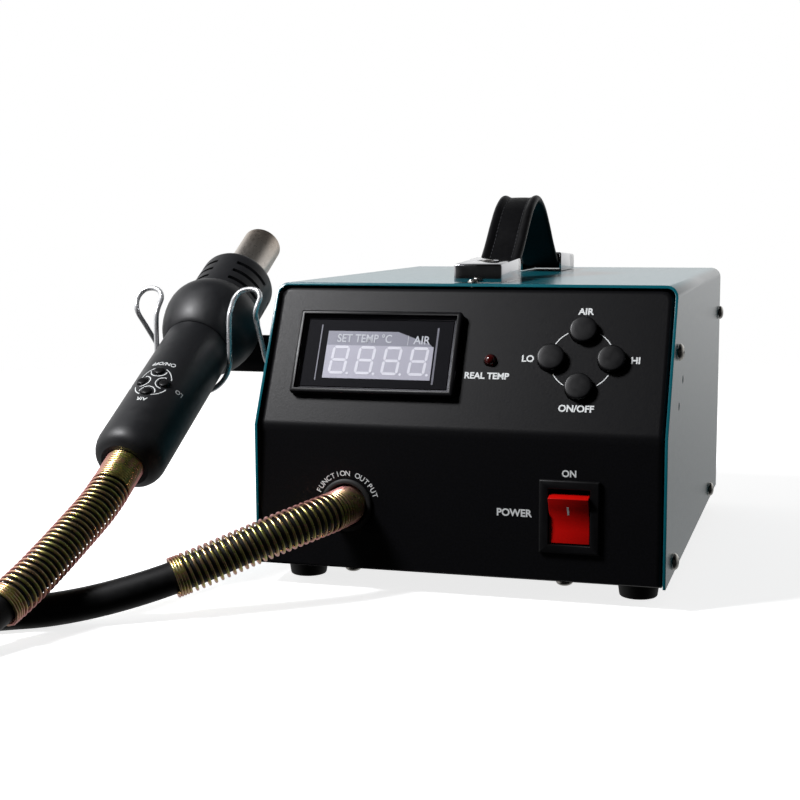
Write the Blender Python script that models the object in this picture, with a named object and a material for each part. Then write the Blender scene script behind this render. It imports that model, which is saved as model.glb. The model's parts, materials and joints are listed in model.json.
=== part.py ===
"""Hot air rework station: sheet steel cabinet, air pump, flexible hose and handpiece on a wire holder.

Metres, +Z up, front towards -Y. The origin is at the middle of the object's footprint, on the surface
that its feet stand on. The free hose and the two coil springs on it are left out of that footprint.
"""

import math

import bmesh
import bpy
from mathutils import Matrix, Vector

MM = 0.001
GAP = 0.3 * MM

# Cabinet
BODY_WIDTH = 180 * MM
BODY_DEPTH = 245 * MM
BODY_HEIGHT = 123 * MM
FASCIA_DROP = 61 * MM
TOP_SETBACK = 31 * MM
SHEET = 1.2 * MM
COVER_BEND = 5 * MM
PANEL_RECESS = 0.8 * MM
PANEL_SIDE_GAP = 0.6 * MM
PANEL_BEND = 2.5 * MM
PANEL_RETURN = 14 * MM
PANEL_SIDE_RETURN = 21 * MM
CHASSIS_FLANGE = 12 * MM

# Feet
FOOT_HEIGHT = 10 * MM
FOOT_TOP_RADIUS = 9.5 * MM
FOOT_BOTTOM_RADIUS = 8.4 * MM
FOOT_RECESS_RADIUS = 3.2 * MM
FOOT_RECESS_DEPTH = 6 * MM
FOOT_SIDE_INSET = 14.5 * MM
FOOT_FRONT_INSET = 27 * MM
FOOT_REAR_INSET = 27 * MM

# Screws
HEAD_RADIUS = 3.6 * MM
HEAD_HEIGHT = 2.2 * MM
SHANK_RADIUS = 1.6 * MM
SHANK_LENGTH = 6 * MM
UPPER_FRONT_SCREW_BACK = 1.7 * MM
UPPER_FRONT_SCREW_DROP = 28.1 * MM
UPPER_REAR_SCREW_INSET = 6.7 * MM
UPPER_REAR_SCREW_DROP = 24.5 * MM
LOWER_REAR_SCREW_INSET = 46.2 * MM
LOWER_FRONT_SCREW_INSET = 26.8 * MM
LOWER_SCREW_RISE = 5.9 * MM
PANEL_SCREW_OFFSET = 47 * MM
PANEL_SCREW_INSET = 7 * MM
TOP_SCREW_INSET = 4.6 * MM
TOP_SCREW_HEAD = 2.5 * MM

# Free room across the sloping upper panel: left of the display, then each side of the lamp, then to the right
ROOM_LEFT = 13 * MM
ROOM_BEFORE_LAMP = 11.3 * MM
ROOM_AFTER_LAMP = 18 * MM
ROOM_RIGHT = 17.9 * MM

# Display on the upper panel
DISPLAY_OFF_CENTRE = -0.1 * MM
BEZEL_WIDTH = 74 * MM
BEZEL_HEIGHT = 39 * MM
BEZEL_RIM = 2 * MM
BEZEL_PROUD = 4.2 * MM
BEZEL_LEDGE = 1.5 * MM
BEZEL_NECK_DEPTH = 12 * MM
BEZEL_NECK_INSET = 1.6 * MM
WINDOW_THICKNESS = 1.6 * MM
WINDOW_SUNK = 0.7 * MM
MODULE_DEPTH = 9 * MM

# Buttons on the upper panel
BUTTONS_OFF_CENTRE = 0.1 * MM
BUTTON_RING = 12.8 * MM
BUTTON_RADIUS = 5.8 * MM
BUTTON_PROUD = 3.6 * MM
BUTTON_TRAVEL = 1.5 * MM
BUTTON_FLANGE = 1.2 * MM
BOARD_THICKNESS = 1.6 * MM
LAMP_OFF_CENTRE = -1.3 * MM
LAMP_RADIUS = 2.5 * MM

# Mains switch on the lower panel
SWITCH_SIDE_INSET = 40 * MM
SWITCH_OFF_CENTRE = -2.8 * MM
SWITCH_BEZEL_WIDTH = 25.5 * MM
SWITCH_BEZEL_HEIGHT = 31 * MM
SWITCH_BEZEL_PROUD = 1.8 * MM
SWITCH_BODY_WIDTH = 21.6 * MM
SWITCH_BODY_HEIGHT = 27.6 * MM
SWITCH_BODY_DEPTH = 19 * MM
SWITCH_WALL = 2 * MM
ROCKER_WIDTH = 16.8 * MM
ROCKER_HALF = 10 * MM
ROCKER_CREST = 2.9 * MM
ROCKER_VALLEY = 0.6 * MM
ROCKER_PIVOT_DEPTH = 4 * MM
ROCKER_PIN_RADIUS = 1.5 * MM
ROCKER_TILT = math.radians(12)

# Hose outlet on the lower panel
OUTLET_SIDE_INSET = 42.2 * MM
OUTLET_OFF_CENTRE = -3 * MM
HOSE_DIAMETER = 13.5 * MM
SPRING_DIAMETER = 17.4 * MM
SPRING_WIRE = 1.2 * MM
GLAND_FLANGE = 1.4 * MM
GLAND_PROUD = 1.4 * MM
GLAND_NECK_WALL = 1.2 * MM
OUTLET_SPRING_LENGTH = 90 * MM
OUTLET_SPRING_CLOSED = 16 * MM
HANDPIECE_SPRING_LENGTH = 106 * MM
HANDPIECE_SPRING_CLOSED = 26 * MM
SPRING_END_CLOSED = 5 * MM
SPRING_PITCH = 3.1 * MM

# Handpiece, measured along its axis from the tail
HANDPIECE_FROM_SIDE = 48 * MM
HANDPIECE_TAIL_Y = -30.4 * MM
HANDPIECE_TAIL_Z = 56.5 * MM
HANDPIECE_RISE = math.radians(29.8)
HANDPIECE_ROLL = math.radians(4)
GRIP_RADIUS = 16 * MM
GRIP_WALL = 2.6 * MM
GRIP_LENGTH = 88 * MM
GRIP_NECK = 12 * MM
TAIL_BORE_LENGTH = 15 * MM
HEAD_RADIUS_OUTER = 23.7 * MM
HEAD_WALL = 2.4 * MM
SEAM_TO_WIDEST = 23 * MM
COLLAR_RADIUS = 18.6 * MM
SEAM_TO_COLLAR = 32.5 * MM
COLLAR_LENGTH = 28 * MM
PIPE_RADIUS = 10 * MM
PIPE_WALL = 0.9 * MM
PIPE_INSIDE = 40.5 * MM
PIPE_OUTSIDE = 35 * MM
CORE_BACK_INSET = 6 * MM
CORE_FRONT_INSET = 22 * MM
MICA_THICKNESS = 1.6 * MM
PAD_STATION = 40 * MM
PAD_ALONG = 7.6 * MM
PAD_ACROSS = 5.2 * MM
PAD_BUTTON_RADIUS = 2.4 * MM
PAD_BUTTON_PROUD = 1 * MM
PAD_BUTTON_TRAVEL = 0.6 * MM
SLOT_WIDTH = 2.2 * MM
SLOT_SPACING = 6.5 * MM
SLOT_FROM_MOUTH = 9.3 * MM
SLOTS_IN_ROW = 3

# Wire holder and its bracket
WIRE_DIAMETER = 2.4 * MM
WIRE_TO_SEAM = 5.72 * MM
WIRE_HALF_WIDTH = 26.5 * MM
WIRE_LEAN = 4 * MM
WIRE_ABOVE_ARM = 6 * MM
WIRE_REST_GAP = 0.45 * MM
WIRE_LEG_SPACE = 1.6 * MM
ARM_FROM_WIRE = 55 * MM
HOLDER_LOOP = (
    (27 * MM, 25.5 * MM, -4.4 * MM), (28 * MM, 18 * MM, 4.1 * MM), (29.3 * MM, 10 * MM, 13.1 * MM),
    (30.4 * MM, 4.4 * MM, 19.6 * MM), (31.2 * MM, 4.6 * MM, 23.6 * MM), (31.5 * MM, 7.6 * MM, 27.4 * MM),
    (29.4 * MM, 10 * MM, 30.4 * MM), (25.1 * MM, 10.2 * MM, 31.2 * MM), (21 * MM, 9 * MM, 30 * MM),
    (18.9 * MM, 6.6 * MM, 26.8 * MM),
)
ARM_TOP = 103 * MM
ARM_BOTTOM = 84.3 * MM
ARM_REACH = 78 * MM
BRACKET_SHEET = 2 * MM
HOLDER_SCREWS = ((38.9 * MM, 80.9 * MM), (52.8 * MM, 91.1 * MM))

# Carrying strap
STRAP_X = 0.8 * MM
STRAP_WIDTH = 19.4 * MM
STRAP_THICKNESS = 3.6 * MM
STRAP_WEB = 2.4 * MM
STRAP_EDGE_ROLL = 4.6 * MM
STRAP_LIFT = 1 * MM
STRAP_RISE = 39.5 * MM
STRAP_FRONT_INSET = 9 * MM
STRAP_REAR_INSET = 25 * MM
CLAMP_WIDTH = 22 * MM
CLAMP_LENGTH = 39 * MM
CLAMP_HEIGHT = 8 * MM
CLAMP_RISE = 1.9 * MM
CLAMP_WALL = 1 * MM
CLAMP_DISH_DEPTH = 2 * MM
CLAMP_DISH_FLARE = 1 * MM
CLAMP_SCREW_INSET = 19 * MM

# Air pump, boards and inlet inside
PUMP_SIDE_ROOM = 8 * MM
PUMP_FROM_BACK = 105 * MM
PUMP_AXIS_AHEAD = 8 * MM
PUMP_BASE_WIDTH = 104 * MM
PUMP_BASE_DEPTH = 70 * MM
PUMP_BASE_THICKNESS = 3 * MM
PUMP_FOOT_HEIGHT = 8 * MM
PUMP_CHAMBER_RADIUS = 19 * MM
PUMP_CHAMBER_LENGTH = 20 * MM
PUMP_CORE_WIDTH = 36 * MM
PUMP_CORE_DEPTH = 26 * MM
PUMP_CORE_HEIGHT = 40 * MM
ARMATURE_STROKE = 1 * MM
ARMATURE_PIN_RADIUS = 3 * MM
ARMATURE_PIN_LENGTH = 6 * MM
ARMATURE_THICKNESS = 6 * MM
ARMATURE_HEIGHT = 10 * MM
MAGNET_WIDTH = 18 * MM
MAGNET_HEIGHT = 22 * MM
MAGNET_PROUD_FRONT = 2 * MM
MAGNET_PROUD_BACK = 4 * MM
POWER_BOARD_FROM_BACK = 48 * MM
POWER_BOARD_WIDTH = 110 * MM
POWER_BOARD_DEPTH = 38 * MM
TRANSFORMER_WIDTH = 36 * MM
TRANSFORMER_DEPTH = 32 * MM
TRANSFORMER_HEIGHT = 30 * MM
HEAT_SINK_WIDTH = 34 * MM
HEAT_SINK_DEPTH = 3 * MM
HEAT_SINK_HEIGHT = 24 * MM
CAPACITOR_RADIUS = 8 * MM
CAPACITOR_HEIGHT = 20 * MM
BOARD_PART_SPACE = 10 * MM
STANDOFF_HEIGHT = 8 * MM
INLET_SIDE_INSET = 38 * MM
INLET_HEIGHT = 40 * MM
INLET_FLANGE_WIDTH = 50 * MM
INLET_FLANGE_HEIGHT = 24 * MM
INLET_CAVITY_WIDTH = 24 * MM
INLET_CAVITY_HEIGHT = 16.4 * MM
INLET_DEPTH = 26 * MM
INLET_WALL = 1.5 * MM
AIR_PIPE_RADIUS = 4 * MM

# Hose coil on the surface that the station stands on
COIL_X = -228 * MM
COIL_Y = -208 * MM
COIL_MEAN_RADIUS = 70 * MM
COIL_LAYERS = 2

KINK_HEIGHT = BODY_HEIGHT - FASCIA_DROP
SLOPE_ANGLE = math.atan2(TOP_SETBACK, FASCIA_DROP)
SLOPE_LENGTH = math.hypot(TOP_SETBACK, FASCIA_DROP)
TOP_Z = FOOT_HEIGHT + BODY_HEIGHT
PANEL_HALF = BODY_WIDTH / 2 - SHEET - PANEL_SIDE_GAP
LOWER_MIDDLE = FOOT_HEIGHT + KINK_HEIGHT / 2
BUTTONS_HALF = BUTTON_RING + BUTTON_RADIUS
SPARE_ROOM = 2 * (PANEL_HALF - BUTTONS_HALF - LAMP_RADIUS) - BEZEL_WIDTH
ROOM_SCALE = SPARE_ROOM / (ROOM_LEFT + ROOM_BEFORE_LAMP + ROOM_AFTER_LAMP + ROOM_RIGHT)
DISPLAY_X = ROOM_LEFT * ROOM_SCALE + BEZEL_WIDTH / 2 - PANEL_HALF
LAMP_X = DISPLAY_X + BEZEL_WIDTH / 2 + ROOM_BEFORE_LAMP * ROOM_SCALE + LAMP_RADIUS
BUTTON_X = PANEL_HALF - ROOM_RIGHT * ROOM_SCALE - BUTTONS_HALF
DISPLAY_UP = SLOPE_LENGTH / 2 + DISPLAY_OFF_CENTRE
LAMP_UP = SLOPE_LENGTH / 2 + LAMP_OFF_CENTRE
BUTTON_UP = SLOPE_LENGTH / 2 + BUTTONS_OFF_CENTRE
SWITCH_X = BODY_WIDTH / 2 - SWITCH_SIDE_INSET
SWITCH_HEIGHT = LOWER_MIDDLE + SWITCH_OFF_CENTRE
OUTLET_X = OUTLET_SIDE_INSET - BODY_WIDTH / 2
OUTLET_HEIGHT = LOWER_MIDDLE + OUTLET_OFF_CENTRE
INLET_X = INLET_SIDE_INSET - BODY_WIDTH / 2
HANDPIECE_X = -BODY_WIDTH / 2 - HANDPIECE_FROM_SIDE
HEAD_WIDEST = GRIP_LENGTH + SEAM_TO_WIDEST
COLLAR_START = GRIP_LENGTH + SEAM_TO_COLLAR
COLLAR_END = COLLAR_START + COLLAR_LENGTH
PIPE_START = COLLAR_END - PIPE_INSIDE
PIPE_END = COLLAR_END + PIPE_OUTSIDE
WIRE_PLANE_Y = HANDPIECE_TAIL_Y + (GRIP_LENGTH - WIRE_TO_SEAM) * math.cos(HANDPIECE_RISE)
ARM_Y = WIRE_PLANE_Y + ARM_FROM_WIRE
STRAP_FRONT = TOP_SETBACK + STRAP_FRONT_INSET
STRAP_REAR = BODY_DEPTH - STRAP_REAR_INSET
STRAP_MIDDLE_Y = (STRAP_FRONT + STRAP_REAR) / 2
STRAP_HALF_SPAN = (STRAP_REAR - STRAP_FRONT) / 2 - CLAMP_LENGTH
PUMP_X = BODY_WIDTH / 2 - PUMP_SIDE_ROOM - PUMP_BASE_WIDTH / 2
PUMP_Y = BODY_DEPTH - PUMP_FROM_BACK
PUMP_AXIS_Y = PUMP_Y - PUMP_AXIS_AHEAD
POWER_BOARD_X = 0
POWER_BOARD_Y = BODY_DEPTH - POWER_BOARD_FROM_BACK
SIDE_SCREWS = (
    ("upper_front", TOP_SETBACK + UPPER_FRONT_SCREW_BACK, TOP_Z - UPPER_FRONT_SCREW_DROP),
    ("upper_rear", BODY_DEPTH - UPPER_REAR_SCREW_INSET, TOP_Z - UPPER_REAR_SCREW_DROP),
    ("lower_rear", BODY_DEPTH - LOWER_REAR_SCREW_INSET, FOOT_HEIGHT + LOWER_SCREW_RISE),
    ("lower_front", LOWER_FRONT_SCREW_INSET, FOOT_HEIGHT + LOWER_SCREW_RISE),
)
HOSE_RADIUS = HOSE_DIAMETER / 2
COIL_RADIUS = (SPRING_DIAMETER - SPRING_WIRE) / 2
SPRING_BORE = SPRING_DIAMETER / 2 + GAP
CHASSIS_FLOOR = FOOT_HEIGHT + SHEET + GAP
CHASSIS_TOP_FACE = CHASSIS_FLOOR + SHEET

FREE_HOSE = (
    "hose_outlet_run", "hose_coil", "hose_handpiece_run", "outlet_spring", "handpiece_spring",
)


def clear_scene():
    for old in list(bpy.data.objects):
        bpy.data.objects.remove(old, do_unlink=True)


def finish(name, colour, roughness=0.5, metallic=0.0):
    """A Principled material with a plain colour."""
    made = bpy.data.materials.new(name)
    made.use_nodes = True
    shader = made.node_tree.nodes["Principled BSDF"]
    shader.inputs["Base Color"].default_value = (*colour, 1.0)
    shader.inputs["Roughness"].default_value = roughness
    shader.inputs["Metallic"].default_value = metallic
    return made


def empty(name, parent, at=(0, 0, 0), turn=(0, 0, 0)):
    frame = bpy.data.objects.new(name, None)
    frame.location = at
    frame.rotation_euler = turn
    frame.parent = parent
    bpy.context.scene.collection.objects.link(frame)
    return frame


def add(name, bm, material, parent, at=(0, 0, 0), turn=(0, 0, 0), smooth=False):
    """The mesh as a named object under a parent, with its faces pointing out."""
    bmesh.ops.recalc_face_normals(bm, faces=bm.faces)
    mesh = bpy.data.meshes.new(name)
    bm.to_mesh(mesh)
    bm.free()
    if smooth:
        mesh.shade_smooth()
        mesh.set_sharp_from_angle(angle=math.radians(40))
    if material:
        mesh.materials.append(material)
    made = bpy.data.objects.new(name, mesh)
    made.location = at
    made.rotation_euler = turn
    made.parent = parent
    bpy.context.scene.collection.objects.link(made)
    return made


def helper(name, bm, parent, at=(0, 0, 0), turn=(0, 0, 0)):
    """A shape that cuts or joins another one, and is no piece itself."""
    made = add(name, bm, None, parent, at, turn)
    made.hide_render = True
    made.display_type = "WIRE"
    return made


def boolean(target, other, operation):
    step = target.modifiers.new(f"{operation.lower()}_{other.name}", "BOOLEAN")
    step.operation = operation
    step.object = other
    step.solver = "EXACT"


def block(low, high, bm=None):
    """A box between two corners."""
    bm = bm or bmesh.new()
    made = bmesh.ops.create_cube(bm, size=1.0)["verts"]
    size = [h - l for l, h in zip(low, high)]
    middle = [(h + l) / 2 for l, h in zip(low, high)]
    bmesh.ops.scale(bm, vec=size, verts=made)
    bmesh.ops.translate(bm, vec=middle, verts=made)
    return bm


def rod(start, end, radius, sides=16, bm=None, end_radius=None):
    """A cylinder or cone from one point to another."""
    bm = bm or bmesh.new()
    start = Vector(start)
    end = Vector(end)
    made = bmesh.ops.create_cone(
        bm, cap_ends=True, segments=sides, radius1=radius,
        radius2=radius if end_radius is None else end_radius, depth=(end - start).length,
    )["verts"]
    turn = (end - start).to_track_quat("Z", "Y").to_matrix().to_4x4()
    bmesh.ops.transform(bm, matrix=Matrix.Translation((start + end) / 2) @ turn, verts=made)
    return bm


def prism(outline, low, high, plane="YZ", bm=None):
    """An outline in one plane, extruded along the third axis from low to high."""
    bm = bm or bmesh.new()
    place = {
        "YZ": lambda a, b, c: (c, a, b),
        "XZ": lambda a, b, c: (a, c, b),
        "XY": lambda a, b, c: (a, b, c),
    }[plane]
    near = [bm.verts.new(place(a, b, low)) for a, b in outline]
    far = [bm.verts.new(place(a, b, high)) for a, b in outline]
    bm.faces.new(near)
    bm.faces.new(far)
    count = len(outline)
    for i in range(count):
        j = (i + 1) % count
        bm.faces.new((near[i], near[j], far[j], far[i]))
    return bm


def turned(profile, steps=32, bm=None):
    """A profile of (radius, height) points turned about the Z axis.

    A profile that starts and ends on the axis gives a solid, and a closed loop off the axis gives a ring.
    """
    bm = bm or bmesh.new()
    on_axis = profile[0][0] == 0 and profile[-1][0] == 0
    points = [bm.verts.new((radius, 0, height)) for radius, height in profile]
    edges = [bm.edges.new(pair) for pair in zip(points, points[1:])]
    if not on_axis:
        edges.append(bm.edges.new((points[-1], points[0])))
    bmesh.ops.spin(
        bm, geom=points + edges, cent=(0, 0, 0), axis=(0, 0, 1), angle=math.tau, steps=steps,
        use_duplicate=False, use_merge=True,
    )
    bmesh.ops.remove_doubles(bm, verts=bm.verts, dist=1e-7)
    return bm


def arc(centre, radius, start, end, steps):
    """Points on a circle between two angles in degrees, ends included."""
    points = []
    for i in range(steps + 1):
        angle = math.radians(start + (end - start) * i / steps)
        points.append((centre[0] + radius * math.cos(angle), centre[1] + radius * math.sin(angle)))
    return points


def smooth_route(points, step):
    """Points a step apart on a smooth curve through the given ones."""
    points = [Vector(point) for point in points]
    padded = [2 * points[0] - points[1], *points, 2 * points[-1] - points[-2]]
    dense = []
    for a, b, c, d in zip(padded, padded[1:], padded[2:], padded[3:]):
        for i in range(24):
            t = i / 24
            dense.append(
                0.5 * (2 * b + (c - a) * t + (2 * a - 5 * b + 4 * c - d) * t ** 2
                       + (3 * b - a - 3 * c + d) * t ** 3)
            )
    dense.append(points[-1])
    length = sum((b - a).length for a, b in zip(dense, dense[1:]))
    count = max(2, round(length / step))
    return [point_along(dense, length * i / count) for i in range(count + 1)]


def route_length(route):
    return sum((b - a).length for a, b in zip(route, route[1:]))


def point_along(route, distance):
    """The point at a distance from the start of a route."""
    for a, b in zip(route, route[1:]):
        span = (b - a).length
        if distance <= span:
            return a.lerp(b, distance / span)
        distance -= span
    return route[-1].copy()


def frames_along(route):
    """For each point of a route, its direction and two directions across it that don't twist."""
    frames = []
    across = None
    for i, point in enumerate(route):
        before = route[max(i - 1, 0)]
        after = route[min(i + 1, len(route) - 1)]
        direction = (after - before).normalized()
        if across is None:
            helper_axis = Vector((0, 0, 1)) if abs(direction.z) < 0.9 else Vector((1, 0, 0))
            across = direction.cross(helper_axis).normalized()
        across = (across - direction * across.dot(direction)).normalized()
        frames.append((point, direction, across, direction.cross(across)))
    return frames


def swept(route, section, bm=None):
    """A closed section of (across, up) points carried along a route, with both ends closed."""
    bm = bm or bmesh.new()
    rings = []
    for point, _, across, up in frames_along(route):
        rings.append([bm.verts.new(point + across * a + up * b) for a, b in section])
    count = len(section)
    for first, second in zip(rings, rings[1:]):
        for i in range(count):
            j = (i + 1) % count
            bm.faces.new((first[i], first[j], second[j], second[i]))
    bm.faces.new(rings[0])
    bm.faces.new(rings[-1])
    return bm


def swept_sleeve(route, outer, inner, sides=16):
    """A tube with a bore, open at both ends, along a route."""
    bm = bmesh.new()
    walls = []
    for radius in (outer, inner):
        rings = []
        for point, _, across, up in frames_along(route):
            ring = []
            for a, b in arc((0, 0), radius, 0, 360, sides)[:-1]:
                ring.append(bm.verts.new(point + across * a + up * b))
            rings.append(ring)
        for first, second in zip(rings, rings[1:]):
            for i in range(sides):
                j = (i + 1) % sides
                bm.faces.new((first[i], first[j], second[j], second[i]))
        walls.append(rings)
    for end in (0, -1):
        for i in range(sides):
            j = (i + 1) % sides
            bm.faces.new((walls[0][end][i], walls[0][end][j], walls[1][end][j], walls[1][end][i]))
    return bm


def helix_about(route, radius, pitch, per_turn):
    """Points of a helix that winds about a route."""
    length = route_length(route)
    count = round(length / pitch * per_turn)
    fine = [point_along(route, length * i / count) for i in range(count + 1)]
    points = []
    for i, (point, _, across, up) in enumerate(frames_along(fine)):
        angle = math.tau * i / per_turn
        points.append(point + radius * (across * math.cos(angle) + up * math.sin(angle)))
    return points


def part_of_route(route, start, end, step):
    count = max(2, round((end - start) / step))
    return [point_along(route, start + (end - start) * i / count) for i in range(count + 1)]


def rounded_edges(bm, picked, offset, segments=2):
    """Bevels the edges that a test on their two ends picks."""
    edges = [edge for edge in bm.edges if picked(edge.verts[0].co, edge.verts[1].co)]
    bmesh.ops.bevel(
        bm, geom=edges, offset=offset, segments=segments, profile=0.5, affect="EDGES",
    )
    return bm


# Cabinet

def cover_outline(width, height, bend):
    """Half circle corners joined by the top: the outside or the inside of the bent sheet, left foot first."""
    half = width / 2
    return (
        [(-half, FOOT_HEIGHT)]
        + arc((-half + bend, height - bend), bend, 180, 90, 5)
        + arc((half - bend, height - bend), bend, 90, 0, 5)
        + [(half, FOOT_HEIGHT)]
    )


def make_cover(steel, parent):
    outside = cover_outline(BODY_WIDTH, TOP_Z, COVER_BEND)
    inside = cover_outline(BODY_WIDTH - 2 * SHEET, TOP_Z - SHEET, COVER_BEND - SHEET)
    cover = add("cover", prism(outside + inside[::-1], 0, BODY_DEPTH, "XZ"), steel, parent, smooth=True)
    margin = 5 * MM
    kink_z = FOOT_HEIGHT + KINK_HEIGHT
    beyond = margin / math.tan(math.pi / 2 - SLOPE_ANGLE)
    slope_cut = [
        (-margin, kink_z),
        (0, kink_z),
        (TOP_SETBACK + beyond, TOP_Z + margin),
        (-margin, TOP_Z + margin),
    ]
    half = BODY_WIDTH / 2 + margin
    boolean(cover, helper("cutter_cover_slope", prism(slope_cut, -half, half), parent), "DIFFERENCE")
    holes = bmesh.new()
    for _, y, z in SIDE_SCREWS:
        through = BODY_WIDTH / 2 + margin
        rod((-through, y, z), (through, y, z), SHANK_RADIUS + GAP, 8, holes)
    for y, z in HOLDER_SCREWS:
        through = BODY_WIDTH / 2 + margin
        rod((-through, y, z), (through, y, z), SHANK_RADIUS + GAP, 8, holes)
    boolean(cover, helper("cutter_cover_side_holes", holes, parent), "DIFFERENCE")
    holes = bmesh.new()
    for y in clamp_screw_places():
        rod((STRAP_X, y, TOP_Z - margin), (STRAP_X, y, TOP_Z + margin), SHANK_RADIUS + GAP, 8, holes)
    rod((0, TOP_SETBACK + TOP_SCREW_INSET, TOP_Z - margin), (0, TOP_SETBACK + TOP_SCREW_INSET, TOP_Z + margin),
        SHANK_RADIUS + GAP, 8, holes)
    boolean(cover, helper("cutter_cover_top_holes", holes, parent), "DIFFERENCE")
    return cover


def panel_line(inset):
    """Side view of the panel's face, set back square to both of its flats: bottom, kink and top."""
    half_turn = math.tan(SLOPE_ANGLE / 2)
    kink = (inset, FOOT_HEIGHT + KINK_HEIGHT - inset * half_turn)
    top_z = TOP_Z - SHEET - PANEL_SIDE_GAP
    run = (top_z - kink[1]) * math.tan(SLOPE_ANGLE)
    return (inset, FOOT_HEIGHT), kink, (inset + run, top_z)


def make_front_panel(steel, parent, fascia, lower_face):
    bottom, kink, top = panel_line(PANEL_RECESS)
    half = PANEL_HALF
    outline = [
        bottom, kink, top,
        (top[0] + PANEL_SIDE_RETURN, top[1]),
        (kink[0] + PANEL_RETURN, kink[1] - PANEL_SIDE_RETURN * 0.4),
        (bottom[0] + PANEL_RETURN, bottom[1]),
    ]
    bm = prism(outline, -half, half)
    near = 1e-6

    def along_top(a, b):
        return abs(a.y - b.y) > near and min(a.z, b.z) > top[1] - near

    rounded_edges(bm, along_top, COVER_BEND - GAP, 3)

    def on_face_rim(a, b):
        """Edges round the visible face, and the kink across it."""
        front = []
        for point in (a, b):
            low = abs(point.y - bottom[0]) < near and point.z <= kink[1] + near
            high = abs((point.y - kink[0]) - (point.z - kink[1]) * math.tan(SLOPE_ANGLE)) < near
            front.append(low or (high and point.z >= kink[1] - near))
        return all(front)

    rounded_edges(bm, on_face_rim, PANEL_BEND, 2)
    panel = add("front_panel", bm, steel, parent, smooth=True)
    inner_bottom, inner_kink, inner_top = panel_line(PANEL_RECESS + SHEET)
    deep = 40 * MM
    hollow = [
        (inner_bottom[0], inner_bottom[1] + SHEET),
        inner_kink,
        (inner_top[0] - SHEET * math.tan(SLOPE_ANGLE), inner_top[1] - SHEET),
        (inner_top[0] + deep, inner_top[1] - SHEET),
        (inner_bottom[0] + deep, inner_bottom[1] + SHEET),
    ]
    bm = prism(hollow, SHEET - half, half - SHEET)

    def along_hollow_top(a, b):
        return abs(a.y - b.y) > near and min(a.z, b.z) > hollow[2][1] - near

    rounded_edges(bm, along_hollow_top, COVER_BEND - GAP - SHEET, 3)
    boolean(panel, helper("cutter_panel_hollow", bm, parent), "DIFFERENCE")

    through = 6 * MM
    openings = block(
        (DISPLAY_X - BEZEL_WIDTH / 2 + BEZEL_NECK_INSET - GAP, DISPLAY_UP - BEZEL_HEIGHT / 2 + BEZEL_NECK_INSET - GAP, -through),
        (DISPLAY_X + BEZEL_WIDTH / 2 - BEZEL_NECK_INSET + GAP, DISPLAY_UP + BEZEL_HEIGHT / 2 - BEZEL_NECK_INSET + GAP, through),
    )
    for x, up in button_places():
        rod((x, up, -through), (x, up, through), BUTTON_RADIUS + GAP, 16, openings)
    rod((LAMP_X, LAMP_UP, -through), (LAMP_X, LAMP_UP, through), LAMP_RADIUS + GAP, 12, openings)
    boolean(panel, helper("cutter_panel_upper", openings, fascia), "DIFFERENCE")

    switch_up = SWITCH_HEIGHT
    openings = block(
        (SWITCH_X - SWITCH_BODY_WIDTH / 2 - GAP, switch_up - SWITCH_BODY_HEIGHT / 2 - GAP, -through),
        (SWITCH_X + SWITCH_BODY_WIDTH / 2 + GAP, switch_up + SWITCH_BODY_HEIGHT / 2 + GAP, through),
    )
    gland_neck = SPRING_BORE + GLAND_NECK_WALL + GAP
    rod((OUTLET_X, OUTLET_HEIGHT, -through), (OUTLET_X, OUTLET_HEIGHT, through), gland_neck, 24, openings)
    boolean(panel, helper("cutter_panel_lower", openings, lower_face), "DIFFERENCE")

    holes = bmesh.new()
    for side in (-1, 1):
        x = side * PANEL_SCREW_OFFSET
        rod((x, PANEL_SCREW_INSET, 0), (x, PANEL_SCREW_INSET, CHASSIS_FLOOR - GAP / 2), SHANK_RADIUS + GAP, 8, holes)
    boolean(panel, helper("cutter_panel_screws", holes, parent), "DIFFERENCE")
    holes = bmesh.new()
    _, y, z = SIDE_SCREWS[0]
    rod((-BODY_WIDTH, y, z), (BODY_WIDTH, y, z), SHANK_RADIUS + GAP, 8, holes)
    top_y = TOP_SETBACK + TOP_SCREW_INSET
    rod((0, top_y, TOP_Z - 8 * MM), (0, top_y, TOP_Z), SHANK_RADIUS + GAP, 8, holes)
    boolean(panel, helper("cutter_panel_side_screws", holes, parent), "DIFFERENCE")
    return panel


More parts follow.
